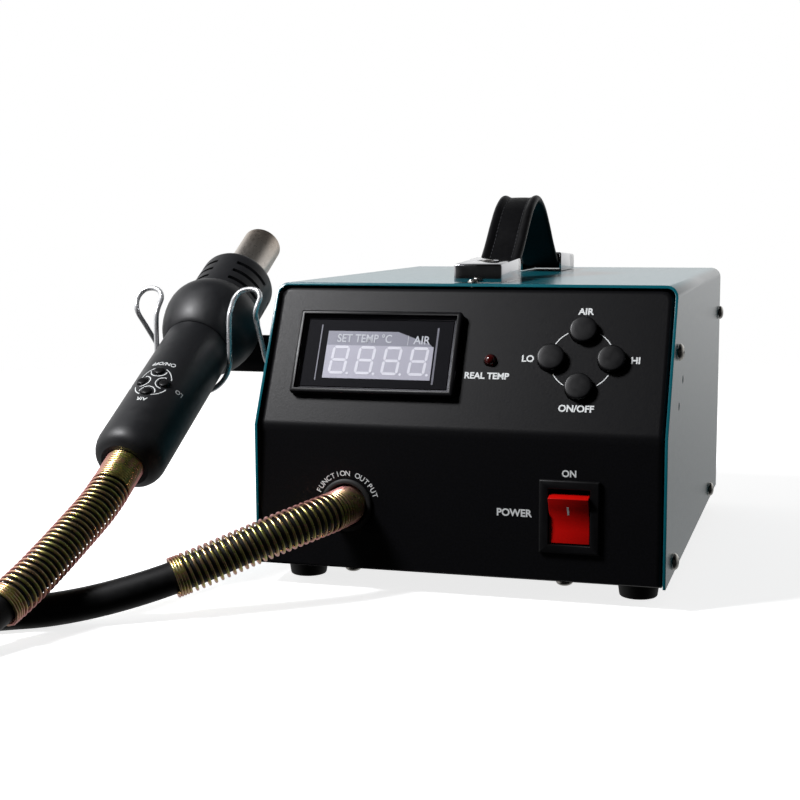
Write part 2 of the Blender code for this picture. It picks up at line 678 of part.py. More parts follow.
def make_chassis(steel, parent):
    """Bottom and rear panel in one bent sheet, with flanges that the cover is screwed to."""
    half = BODY_WIDTH / 2 - SHEET - GAP
    front = PANEL_RECESS + SHEET + GAP
    back = BODY_DEPTH
    top = TOP_Z - SHEET - GAP
    bm = block((-half, front, CHASSIS_FLOOR), (half, back, top))
    rounded_edges(bm, lambda a, b: abs(a.y - b.y) > 1e-6 and min(a.z, b.z) > top - 1e-6, COVER_BEND, 3)
    chassis = add("chassis", bm, steel, parent)
    margin = 10 * MM
    room = block((SHEET - half, front - margin, CHASSIS_TOP_FACE), (half - SHEET, back - SHEET, top + margin))
    boolean(chassis, helper("cutter_chassis_room", room, parent), "DIFFERENCE")
    above_flange = FOOT_HEIGHT + CHASSIS_FLANGE
    sides = block((-half - margin, front - margin, above_flange), (half + margin, back - CHASSIS_FLANGE, top + margin))
    boolean(chassis, helper("cutter_chassis_sides", sides, parent), "DIFFERENCE")
    clear = block((-half - margin, front - margin, CHASSIS_FLOOR - margin),
                  (SHEET - half + margin / 10, PANEL_RECESS + PANEL_RETURN + GAP, above_flange + margin))
    block((half - SHEET - margin / 10, front - margin, CHASSIS_FLOOR - margin),
          (half + margin, PANEL_RECESS + PANEL_RETURN + GAP, above_flange + margin), clear)
    boolean(chassis, helper("cutter_chassis_front_corners", clear, parent), "DIFFERENCE")

    holes = bmesh.new()
    for name, y, z in SIDE_SCREWS[1:]:
        rod((-BODY_WIDTH, y, z), (BODY_WIDTH, y, z), SHANK_RADIUS + GAP, 8, holes)
    boolean(chassis, helper("cutter_chassis_side_screws", holes, parent), "DIFFERENCE")
    holes = bmesh.new()
    for side in (-1, 1):
        x = side * PANEL_SCREW_OFFSET
        rod((x, PANEL_SCREW_INSET, 0), (x, PANEL_SCREW_INSET, CHASSIS_TOP_FACE + margin), SHANK_RADIUS + GAP, 8, holes)
    boolean(chassis, helper("cutter_chassis_floor_screws", holes, parent), "DIFFERENCE")

    rear = bmesh.new()
    block((INLET_X - INLET_CAVITY_WIDTH / 2 - INLET_WALL - GAP, back - margin,
           INLET_HEIGHT - INLET_CAVITY_HEIGHT / 2 - INLET_WALL - GAP),
          (INLET_X + INLET_CAVITY_WIDTH / 2 + INLET_WALL + GAP, back + margin,
           INLET_HEIGHT + INLET_CAVITY_HEIGHT / 2 + INLET_WALL + GAP), rear)
    slot_pitch = 7 * MM
    for i in range(9):
        z = TOP_Z - 71 * MM + i * slot_pitch * 0.8
        block((10 * MM, back - margin, z), (BODY_WIDTH / 2 - 28 * MM, back + margin, z + 2.4 * MM), rear)
    boolean(chassis, helper("cutter_chassis_rear", rear, parent), "DIFFERENCE")
    return chassis


def make_feet(rubber, parent):
    flat = FOOT_BOTTOM_RADIUS - 1 * MM
    top = CHASSIS_FLOOR - GAP
    profile = [
        (0, FOOT_RECESS_DEPTH), (FOOT_RECESS_RADIUS, FOOT_RECESS_DEPTH), (FOOT_RECESS_RADIUS, 0),
        (flat, 0), (flat + 0.7 * MM, 0.3 * MM), (FOOT_BOTTOM_RADIUS, 1 * MM),
        (FOOT_TOP_RADIUS, FOOT_HEIGHT), (FOOT_TOP_RADIUS, top), (0, top),
    ]
    foot_x = BODY_WIDTH / 2 - FOOT_SIDE_INSET
    places = {
        "foot_front_left": (-foot_x, FOOT_FRONT_INSET),
        "foot_front_right": (foot_x, FOOT_FRONT_INSET),
        "foot_rear_left": (-foot_x, BODY_DEPTH - FOOT_REAR_INSET),
        "foot_rear_right": (foot_x, BODY_DEPTH - FOOT_REAR_INSET),
    }
    for name, (x, y) in places.items():
        add(name, turned(profile, 12), rubber, parent, (x, y, 0), smooth=True)


def make_screw(name, steel, parent, at, turn, shank=SHANK_LENGTH, head=HEAD_RADIUS):
    """A pan head screw whose head rests on z = 0 and whose shank runs down."""
    height = HEAD_HEIGHT * head / HEAD_RADIUS
    profile = [
        (0, -shank), (SHANK_RADIUS, -shank), (SHANK_RADIUS, GAP), (head, GAP),
        (head, GAP + height * 0.4), (head * 0.72, GAP + height * 0.9), (0, GAP + height),
    ]
    return add(name, turned(profile, 8), steel, parent, at, turn, smooth=True)


def make_cabinet_screws(steel, parent):
    for side, label in ((-1, "left"), (1, "right")):
        turn = (0, side * math.pi / 2, 0)
        for name, y, z in SIDE_SCREWS:
            make_screw(f"cover_screw_{label}_{name}", steel, parent, (side * BODY_WIDTH / 2, y, z), turn)
        make_screw(f"panel_screw_{label}", steel, parent,
                   (side * PANEL_SCREW_OFFSET, PANEL_SCREW_INSET, FOOT_HEIGHT), (math.pi, 0, 0))
    make_screw("cover_screw_top", steel, parent, (0, TOP_SETBACK + TOP_SCREW_INSET, TOP_Z), (0, 0, 0),
               head=TOP_SCREW_HEAD)


# Controls

def button_places():
    """Top, left, right and bottom of the ring."""
    ring = BUTTON_RING
    return [
        (BUTTON_X, BUTTON_UP + ring), (BUTTON_X - ring, BUTTON_UP),
        (BUTTON_X + ring, BUTTON_UP), (BUTTON_X, BUTTON_UP - ring),
    ]


def make_display(plastic, tint, board, fascia):
    across = BEZEL_WIDTH / 2
    up = BEZEL_HEIGHT / 2
    bm = block((-across, -up, GAP), (across, up, BEZEL_PROUD))
    rounded_edges(bm, lambda a, b: min(a.z, b.z) > BEZEL_PROUD - 1e-6 or abs(a.z - b.z) > 1e-6, 1 * MM, 2)
    at = (DISPLAY_X, DISPLAY_UP, 0)
    bezel = add("display_bezel", bm, plastic, fascia, at)
    neck = (across - BEZEL_NECK_INSET, up - BEZEL_NECK_INSET)
    shape = block((-neck[0], -neck[1], -BEZEL_NECK_DEPTH), (neck[0], neck[1], BEZEL_PROUD / 2))
    boolean(bezel, helper("joiner_bezel_neck", shape, fascia, at), "UNION")
    view = (across - BEZEL_RIM, up - BEZEL_RIM)
    window_back = BEZEL_PROUD - WINDOW_SUNK - WINDOW_THICKNESS - GAP
    shape = block((-view[0], -view[1], window_back), (view[0], view[1], BEZEL_PROUD * 2))
    boolean(bezel, helper("cutter_bezel_window", shape, fascia, at), "DIFFERENCE")
    inner = (view[0] - BEZEL_LEDGE, view[1] - BEZEL_LEDGE)
    shape = block((-inner[0], -inner[1], -2 * BEZEL_NECK_DEPTH), (inner[0], inner[1], BEZEL_PROUD))
    boolean(bezel, helper("cutter_bezel_bore", shape, fascia, at), "DIFFERENCE")
    front = BEZEL_PROUD - WINDOW_SUNK
    pane = block((GAP - view[0], GAP - view[1], front - WINDOW_THICKNESS), (view[0] - GAP, view[1] - GAP, front))
    add("display_window", pane, tint, fascia, at)
    module_front = front - WINDOW_THICKNESS - GAP
    module = block((GAP - inner[0], GAP - inner[1], module_front - MODULE_DEPTH), (inner[0] - GAP, inner[1] - GAP, module_front))
    add("display_module", module, board, fascia, at)


def make_buttons(plastic, fascia):
    behind = -SHEET - GAP
    profile = [
        (0, behind - BUTTON_FLANGE - 3 * MM), (2 * MM, behind - BUTTON_FLANGE - 3 * MM),
        (2 * MM, behind - BUTTON_FLANGE), (BUTTON_RADIUS + 1.3 * MM, behind - BUTTON_FLANGE),
        (BUTTON_RADIUS + 1.3 * MM, behind), (BUTTON_RADIUS, behind),
        (BUTTON_RADIUS, BUTTON_PROUD - 1 * MM), (BUTTON_RADIUS - 0.3 * MM, BUTTON_PROUD - 0.3 * MM),
        (BUTTON_RADIUS - 1 * MM, BUTTON_PROUD), (0, BUTTON_PROUD + 0.3 * MM),
    ]
    names = ("button_air", "button_low", "button_high", "button_on_off")
    for name, (x, up) in zip(names, button_places()):
        add(name, turned(profile, 14), plastic, fascia, (x, up, 0), smooth=True)


def make_control_board(laminate, fascia):
    front = -SHEET - GAP - BUTTON_FLANGE - 3 * MM - BUTTON_TRAVEL - 2 * GAP
    left = LAMP_X - 8 * MM
    right = BUTTON_X + BUTTON_RING + 10 * MM
    low = BUTTON_UP - BUTTON_RING - 7 * MM
    high = BUTTON_UP + BUTTON_RING + 9 * MM
    board = add("control_board", block((left, low, front - BOARD_THICKNESS), (right, high, front)), laminate, fascia)
    posts = bmesh.new()
    inset = 3.5 * MM
    for x in (left + inset, right - inset):
        for up in (low + inset, high - inset):
            rod((x, up, front - BOARD_THICKNESS / 2), (x, up, -SHEET - GAP), 2.2 * MM, 8, posts)
    boolean(board, helper("joiner_board_posts", posts, fascia), "UNION")


def make_lamp(lens, fascia):
    back = -SHEET - GAP
    flange = LAMP_RADIUS + 0.8 * MM
    profile = [(0, back - 2 * MM), (flange, back - 2 * MM), (flange, back), (LAMP_RADIUS, back), (LAMP_RADIUS, 0.4 * MM)]
    profile += arc((0, 0.4 * MM), LAMP_RADIUS, 30, 90, 2)[:-1]
    profile.append((0, 0.4 * MM + LAMP_RADIUS))
    add("indicator_lamp", turned(profile, 12), lens, fascia, (LAMP_X, LAMP_UP, 0), smooth=True)


def make_switch(plastic, red, lower_face):
    at = (SWITCH_X, SWITCH_HEIGHT, 0)
    across = SWITCH_BEZEL_WIDTH / 2
    up = SWITCH_BEZEL_HEIGHT / 2
    bm = block((-across, -up, GAP), (across, up, SWITCH_BEZEL_PROUD))
    rounded_edges(bm, lambda a, b: min(a.z, b.z) > SWITCH_BEZEL_PROUD - 1e-6, 0.7 * MM, 2)
    housing = add("switch_housing", bm, plastic, lower_face, at)
    body = (SWITCH_BODY_WIDTH / 2, SWITCH_BODY_HEIGHT / 2)
    shape = block((-body[0], -body[1], -SWITCH_BODY_DEPTH), (body[0], body[1], SWITCH_BEZEL_PROUD / 2))
    boolean(housing, helper("joiner_switch_body", shape, lower_face, at), "UNION")
    blades = bmesh.new()
    for x in (-6 * MM, 6 * MM):
        for y in (-7 * MM, 7 * MM):
            block((x - 0.4 * MM, y - 2.4 * MM, -SWITCH_BODY_DEPTH - 9 * MM), (x + 0.4 * MM, y + 2.4 * MM, 2 * MM - SWITCH_BODY_DEPTH), blades)
    boolean(housing, helper("joiner_switch_blades", blades, lower_face, at), "UNION")
    well = (body[0] - SWITCH_WALL, body[1] - SWITCH_WALL)
    shape = block((-well[0], -well[1], SWITCH_WALL - SWITCH_BODY_DEPTH), (well[0], well[1], 2 * SWITCH_BEZEL_PROUD))
    boolean(housing, helper("cutter_switch_well", shape, lower_face, at), "DIFFERENCE")
    pin = (0, -ROCKER_PIVOT_DEPTH)
    sockets = rod((-body[0] + 0.7 * MM, pin[0], pin[1]), (body[0] - 0.7 * MM, pin[0], pin[1]), ROCKER_PIN_RADIUS + GAP, 16)
    boolean(housing, helper("cutter_switch_sockets", sockets, lower_face, at), "DIFFERENCE")

    pivot = empty("rocker_pivot", lower_face, (SWITCH_X, SWITCH_HEIGHT, -ROCKER_PIVOT_DEPTH), (ROCKER_TILT, 0, 0))
    crest = ROCKER_CREST + ROCKER_PIVOT_DEPTH
    valley = ROCKER_VALLEY + ROCKER_PIVOT_DEPTH
    profile = [
        (-ROCKER_HALF, crest), (-ROCKER_HALF / 2, (crest + valley) / 2 - 0.25 * MM), (0, valley),
        (ROCKER_HALF / 2, (crest + valley) / 2 - 0.25 * MM), (ROCKER_HALF, crest),
        (ROCKER_HALF, 1 * MM), (ROCKER_HALF * 0.6, -5 * MM), (-ROCKER_HALF * 0.6, -5 * MM), (-ROCKER_HALF, 1 * MM),
    ]
    rocker = add("switch_rocker", prism(profile, -ROCKER_WIDTH / 2, ROCKER_WIDTH / 2), red, pivot)
    reach = body[0] - 0.7 * MM - GAP
    boolean(rocker, helper("joiner_rocker_pins", rod((-reach, 0, 0), (reach, 0, 0), ROCKER_PIN_RADIUS, 16), pivot), "UNION")


# Hose and its coil springs

def outlet_route():
    """Where the hose runs from the pump's pipe out of the panel and over the surface to the coil."""
    floor = HOSE_RADIUS + GAP / 2
    points = [
        (OUTLET_X, 10 * MM, OUTLET_HEIGHT), (OUTLET_X, 4 * MM, OUTLET_HEIGHT), (OUTLET_X, -1 * MM, OUTLET_HEIGHT),
        (-49.6 * MM, -10 * MM, 37.4 * MM), (-56 * MM, -20.5 * MM, 35.2 * MM),
        (-66 * MM, -31 * MM, 31.4 * MM), (-78 * MM, -40.5 * MM, 26.4 * MM),
        (-91 * MM, -50 * MM, 20.8 * MM), (-104 * MM, -59.5 * MM, 15.8 * MM),
        (-118 * MM, -69 * MM, 11.6 * MM), (-131.5 * MM, -77.5 * MM, 8.6 * MM),
        (-145 * MM, -86 * MM, floor), (-158 * MM, -94.7 * MM, floor),
        (-172 * MM, -104 * MM, floor), (-185 * MM, -112 * MM, floor),
        (-198 * MM, -118 * MM, floor), (-207.2 * MM, -122.1 * MM, floor), (-216.2 * MM, -126.1 * MM, floor),
    ]
    return smooth_route(points, HOSE_DIAMETER)


def handpiece_point(station, across=0.0, up=0.0):
    """A point of the handpiece, by its place along the axis, across it and up from it."""
    rise = HANDPIECE_RISE
    along = Vector((0, math.cos(rise), math.sin(rise)))
    above = Vector((0, -math.sin(rise), math.cos(rise)))
    tail = Vector((HANDPIECE_X, HANDPIECE_TAIL_Y, HANDPIECE_TAIL_Z))
    return tail + along * station + above * up + Vector((across, 0, 0))


def handpiece_route():
    """Where the hose runs from inside the grip down to the surface and to the coil's upper turn."""
    floor = HOSE_RADIUS + GAP / 2
    points = [
        handpiece_point(24 * MM), handpiece_point(10 * MM), handpiece_point(-4 * MM), handpiece_point(-16 * MM),
        (-138.6 * MM, -55 * MM, 42.6 * MM), (-140.4 * MM, -69 * MM, 35.6 * MM),
        (-142.6 * MM, -84 * MM, 28.2 * MM), (-145.2 * MM, -99 * MM, 21 * MM),
        (-148.6 * MM, -114 * MM, 14.6 * MM), (-152.2 * MM, -129 * MM, 9.6 * MM),
        (-154.8 * MM, -143 * MM, floor), (-156.8 * MM, -154 * MM, floor + 1.4 * MM),
        (-158 * MM, -164 * MM, floor + 4.4 * MM),
    ]
    return smooth_route(points, HOSE_DIAMETER)


def make_hose(name, rubber, parent, route):
    """The hose as a round curve along its route."""
    curve = bpy.data.curves.new(name, "CURVE")
    curve.dimensions = "3D"
    curve.bevel_depth = HOSE_RADIUS
    curve.bevel_resolution = 3
    curve.use_fill_caps = True
    spline = curve.splines.new("POLY")
    spline.points.add(len(route) - 1)
    for place, point in zip(spline.points, route):
        place.co = (*point, 1.0)
    curve.materials.append(rubber)
    made = bpy.data.objects.new(name, curve)
    made.parent = parent
    bpy.context.scene.collection.objects.link(made)


def make_spring(name, zinc, parent, route, start, length, closed_start):
    """A coil spring about the hose: close wound at both ends and open between them."""
    inner = COIL_RADIUS - SPRING_WIRE / 2
    outer = COIL_RADIUS + SPRING_WIRE / 2
    lap = SPRING_WIRE
    end = start + length
    first = part_of_route(route, start, start + closed_start, 6 * MM)
    spring = add(name, swept_sleeve(first, outer, inner), zinc, parent, smooth=True)
    middle = part_of_route(route, start + closed_start - lap, end - SPRING_END_CLOSED + lap, 1.5 * MM)
    winding = helix_about(middle, COIL_RADIUS, SPRING_PITCH, 7)
    section = arc((0, 0), SPRING_WIRE / 2 * 0.97, 0, 360, 3)[:-1]
    boolean(spring, helper(f"joiner_{name}_turns", swept(winding, section), parent), "UNION")
    last = part_of_route(route, end - SPRING_END_CLOSED, end, 5 * MM)
    boolean(spring, helper(f"joiner_{name}_end", swept_sleeve(last, outer, inner), parent), "UNION")


def make_coil(rubber, parent):
    """The outer shape of the hose's turns, which lie one on the other."""
    height = COIL_LAYERS * HOSE_DIAMETER
    inner = COIL_MEAN_RADIUS - HOSE_RADIUS
    outer = COIL_MEAN_RADIUS + HOSE_RADIUS
    corner = HOSE_RADIUS * 0.55
    profile = [
        (inner + corner, 0), (outer - corner, 0), (outer, corner), (outer, height - corner),
        (outer - corner, height), (inner + corner, height), (inner, height - corner), (inner, corner),
    ]
    add("hose_coil", turned(profile, 24), rubber, parent, (COIL_X, COIL_Y, 0), smooth=True)


def make_gland(rubber, lower_face):
    neck = SPRING_BORE + GLAND_NECK_WALL
    rim = neck + GLAND_FLANGE
    back = -SHEET - GAP
    profile = [
        (neck - GAP, GLAND_PROUD), (SPRING_BORE, back), (SPRING_BORE, back - 3 * MM), (rim, back - 3 * MM), (rim, back),
        (neck, back), (neck, GAP), (rim, GAP), (rim, GLAND_PROUD * 0.5), (rim - 1 * MM, GLAND_PROUD),
    ]
    add("outlet_gland", turned(profile, 20), rubber, lower_face, (OUTLET_X, OUTLET_HEIGHT, 0), smooth=True)


# Handpiece

def make_handpiece(plastic, steel, mica, laminate, frame):
    bore = SPRING_BORE
    inside = GRIP_RADIUS - GRIP_WALL
    neck = GRIP_RADIUS - 1.6 * MM
    neck_end = GRIP_LENGTH + GRIP_NECK
    grip_profile = [
        (bore, 0), (bore + 1.7 * MM, 0), (GRIP_RADIUS - 2.7 * MM, 1.6 * MM), (GRIP_RADIUS - 0.9 * MM, 4.2 * MM),
        (GRIP_RADIUS, 8 * MM),
        (GRIP_RADIUS, GRIP_LENGTH), (neck, GRIP_LENGTH), (neck, neck_end), (neck - 2 * MM, neck_end),
        (neck - 2 * MM, GRIP_LENGTH - 3 * MM), (inside, GRIP_LENGTH - 4 * MM), (inside, TAIL_BORE_LENGTH), (bore, TAIL_BORE_LENGTH),
    ]
    grip = add("handpiece_grip", turned(grip_profile, 20), plastic, frame, smooth=True)
    holes = bmesh.new()
    for along, across in pad_places():
        rod((across, 0, along), (across, -2 * GRIP_RADIUS, along), PAD_BUTTON_RADIUS + GAP, 12, holes)
    boolean(grip, helper("cutter_grip_buttons", holes, frame), "DIFFERENCE")

    seat = neck + GAP
    widest = HEAD_RADIUS_OUTER
    hollow = widest - HEAD_WALL
    collar_bore = COLLAR_RADIUS - HEAD_WALL
    mouth = PIPE_RADIUS + GAP
    lip = COLLAR_END - 3.6 * MM
    head_profile = [
        (seat, GRIP_LENGTH + GAP), (GRIP_RADIUS + 0.2 * MM, GRIP_LENGTH + GAP), (18.5 * MM, GRIP_LENGTH + 3 * MM),
        (21 * MM, GRIP_LENGTH + 8 * MM), (widest - 0.8 * MM, HEAD_WIDEST - 8 * MM), (widest, HEAD_WIDEST),
        (widest - 0.4 * MM, COLLAR_START - 5.5 * MM), (widest - 1.6 * MM, COLLAR_START - 2.5 * MM),
        (COLLAR_RADIUS + 1.6 * MM, COLLAR_START - 0.7 * MM), (COLLAR_RADIUS, COLLAR_START),
        (COLLAR_RADIUS, COLLAR_END - 4.5 * MM), (COLLAR_RADIUS - 1 * MM, COLLAR_END - 2 * MM), (14.8 * MM, COLLAR_END),
        (mouth, COLLAR_END), (mouth, lip), (collar_bore, lip), (collar_bore, COLLAR_START - 2 * MM),
        (hollow - 1 * MM, COLLAR_START - 5 * MM), (hollow, HEAD_WIDEST), (hollow - 1 * MM, HEAD_WIDEST - 7 * MM),
        (seat, GRIP_LENGTH + GRIP_NECK + 1 * MM),
    ]
    head = add("handpiece_head", turned(head_profile, 20), plastic, frame, smooth=True)
    slots = bmesh.new()
    for quarter in range(4):
        for i in range(SLOTS_IN_ROW):
            station = COLLAR_END - SLOT_FROM_MOUTH - i * SLOT_SPACING
            angle = 45 + 90 * quarter
            shape = arc((0, 0), COLLAR_RADIUS + 2 * MM, angle - 29, angle + 29, 3)
            shape += arc((0, 0), COLLAR_RADIUS - HEAD_WALL - 1.4 * MM, angle + 29, angle - 29, 2)
            prism(shape, station - SLOT_WIDTH, station, "XY", slots)
    boolean(head, helper("cutter_head_slots", slots, frame), "DIFFERENCE")

    pipe_bore = PIPE_RADIUS - PIPE_WALL
    flange_at = lip - GAP
    pipe_profile = [
        (pipe_bore, PIPE_START), (PIPE_RADIUS, PIPE_START), (PIPE_RADIUS, flange_at - 1.2 * MM),
        (collar_bore - GAP, flange_at - 1.2 * MM), (collar_bore - GAP, flange_at), (PIPE_RADIUS, flange_at),
        (PIPE_RADIUS, PIPE_END), (pipe_bore, PIPE_END),
    ]
    add("heater_pipe", turned(pipe_profile, 20), steel, frame, smooth=True)

    fin = pipe_bore - GAP
    thick = MICA_THICKNESS / 2
    cross = [
        (thick, thick), (fin, thick), (fin, -thick), (thick, -thick), (thick, -fin), (-thick, -fin),
        (-thick, -thick), (-fin, -thick), (-fin, thick), (-thick, thick), (-thick, fin), (thick, fin),
    ]
    add("heater_core", prism(cross, PIPE_START + CORE_BACK_INSET, PIPE_END - CORE_FRONT_INSET, "XY"), mica, frame)

    board_up = 8 * MM
    half = math.sqrt((inside - GAP) ** 2 - (board_up + BOARD_THICKNESS) ** 2) - 0.1 * MM
    along = PAD_ALONG + 8 * MM
    board = block((-half, -board_up - BOARD_THICKNESS, PAD_STATION - along), (half, -board_up, PAD_STATION + along))
    add("handpiece_board", board, laminate, frame)


def pad_places():
    """(along, across) of the four buttons on the grip, hot end first."""
    return [
        (PAD_STATION + PAD_ALONG, 0), (PAD_STATION, -PAD_ACROSS), (PAD_STATION, PAD_ACROSS), (PAD_STATION - PAD_ALONG, 0),
    ]


def make_pad_buttons(plastic, frame):
    names = ("grip_button_on_off", "grip_button_high", "grip_button_low", "grip_button_air")
    foot = 8 * MM + BOARD_THICKNESS + GAP + PAD_BUTTON_TRAVEL
    for name, (along, across) in zip(names, pad_places()):
        surface = math.sqrt(GRIP_RADIUS ** 2 - across ** 2)
        top = surface + PAD_BUTTON_PROUD
        profile = [
            (0, foot), (PAD_BUTTON_RADIUS, foot), (PAD_BUTTON_RADIUS, top - 0.9 * MM),
            (PAD_BUTTON_RADIUS * 0.75, top - 0.3 * MM), (0, top),
        ]
        add(name, turned(profile, 12), plastic, frame, (across, 0, along), (math.pi / 2, 0, 0), smooth=True)


# Holder

def wire_route():
    """Centre line of the holder wire, from the left end in the arm round to the right end."""
    y = WIRE_PLANE_Y
    radius = WIRE_DIAMETER / 2
    leg = GRIP_RADIUS + WIRE_LEG_SPACE + radius
    slope = math.tan(HANDPIECE_RISE)
    axis_z = HANDPIECE_TAIL_Z + (y - HANDPIECE_TAIL_Y) * slope
    bottom = axis_z + WIRE_LEAN * slope - (GRIP_RADIUS + WIRE_REST_GAP + radius) / math.cos(HANDPIECE_RISE)
    low = ARM_BOTTOM + WIRE_ABOVE_ARM
    half = [
        (WIRE_HALF_WIDTH, ARM_Y + BRACKET_SHEET + 4 * MM, low), (WIRE_HALF_WIDTH, ARM_Y - 12 * MM, low),
        (WIRE_HALF_WIDTH, ARM_Y - 22 * MM, low + GAP),
    ]
    half += [(x, y + ahead, axis_z + up) for x, ahead, up in HOLDER_LOOP]
    bend_z = axis_z + HOLDER_LOOP[3][2]
    half += [
        (leg, y + 2.5 * radius, bend_z + 2.8 * radius), (leg, y + radius / 2, bend_z - radius / 3),
        (leg, y, axis_z + HOLDER_LOOP[2][2]), (leg, y, bottom + leg + WIRE_LEG_SPACE * 2.5),
    ]
    turn = arc((0, bottom + leg), leg, 0, -90, 6)
    half += [(x, y + WIRE_LEAN * (bottom + leg - z) / leg, z) for x, z in turn]
    right = [(HANDPIECE_X + x, py, z) for x, py, z in half]
    left = [(HANDPIECE_X - x, py, z) for x, py, z in half]
    return left[:-1] + right[::-1]


def make_holder(chrome, black, steel, parent):
    section = arc((0, 0), WIRE_DIAMETER / 2, 0, 360, 6)[:-1]
    route = smooth_route(wire_route(), 5 * MM)
    add("holder_wire", swept(route, section), chrome, parent, smooth=True)

    side = -BODY_WIDTH / 2 - GAP
    base_front = HOLDER_SCREWS[0][0] - 6 * MM
    base_low = HOLDER_SCREWS[0][1] - 6 * MM
    base = [
        (base_front, base_low), (ARM_Y - 14 * MM, ARM_BOTTOM), (ARM_Y + BRACKET_SHEET, ARM_BOTTOM),
        (ARM_Y + BRACKET_SHEET, ARM_TOP), (HOLDER_SCREWS[1][0] - 4 * MM, ARM_TOP - 4 * MM), (base_front, base_low + 14 * MM),
    ]
    bracket = add("holder_bracket", prism(base, side - BRACKET_SHEET, side), black, parent)
    arm = block((side - ARM_REACH, ARM_Y, ARM_BOTTOM), (side - BRACKET_SHEET / 2, ARM_Y + BRACKET_SHEET, ARM_TOP))
    rounded_edges(arm, lambda a, b: max(a.x, b.x) < side - ARM_REACH + 1e-6 and abs(a.y - b.y) > 1e-6, 4 * MM, 3)
    boolean(bracket, helper("joiner_bracket_arm", arm, parent), "UNION")
    holes = bmesh.new()
    for y, z in HOLDER_SCREWS:
        rod((side - 8 * MM, y, z), (side + 4 * MM, y, z), SHANK_RADIUS + GAP, 8, holes)
    for x in (-WIRE_HALF_WIDTH, WIRE_HALF_WIDTH):
        z = ARM_BOTTOM + WIRE_ABOVE_ARM
        rod((HANDPIECE_X + x, ARM_Y - 4 * MM, z), (HANDPIECE_X + x, ARM_Y + 8 * MM, z),
            WIRE_DIAMETER / 2 + GAP, 10, holes)
    boolean(bracket, helper("cutter_bracket_holes", holes, parent), "DIFFERENCE")
    for name, (y, z) in zip(("holder_screw_front", "holder_screw_rear"), HOLDER_SCREWS):
        make_screw(name, steel, parent, (side - BRACKET_SHEET, y, z), (0, -math.pi / 2, 0), shank=8 * MM)


# Carrying strap

def clamp_screw_places():
    front = STRAP_MIDDLE_Y - STRAP_HALF_SPAN - CLAMP_SCREW_INSET
    return front, 2 * STRAP_MIDDLE_Y - front


def strap_route():
    """Side view of the strap's middle line: flat in each clamp, arched between them."""
    lying = TOP_Z + GAP + STRAP_THICKNESS / 2 + STRAP_LIFT
    crest = TOP_Z + STRAP_RISE - STRAP_THICKNESS / 2
    rise = crest - lying
    span = STRAP_HALF_SPAN
    half = [
        (span + CLAMP_LENGTH - 4 * MM, lying), (span + CLAMP_LENGTH / 2, lying), (span + 2 * MM, lying + CLAMP_RISE * 0.6),
        (span * 0.89, lying + rise * 0.15), (span * 0.7, lying + rise * 0.36), (span * 0.5, lying + rise * 0.62),
        (span * 0.27, lying + rise * 0.87),
    ]
    points = [(STRAP_X, STRAP_MIDDLE_Y - y, z) for y, z in half]
    points.append((STRAP_X, STRAP_MIDDLE_Y, crest))
    points += [(STRAP_X, STRAP_MIDDLE_Y + y, z) for y, z in half[::-1]]
    return points


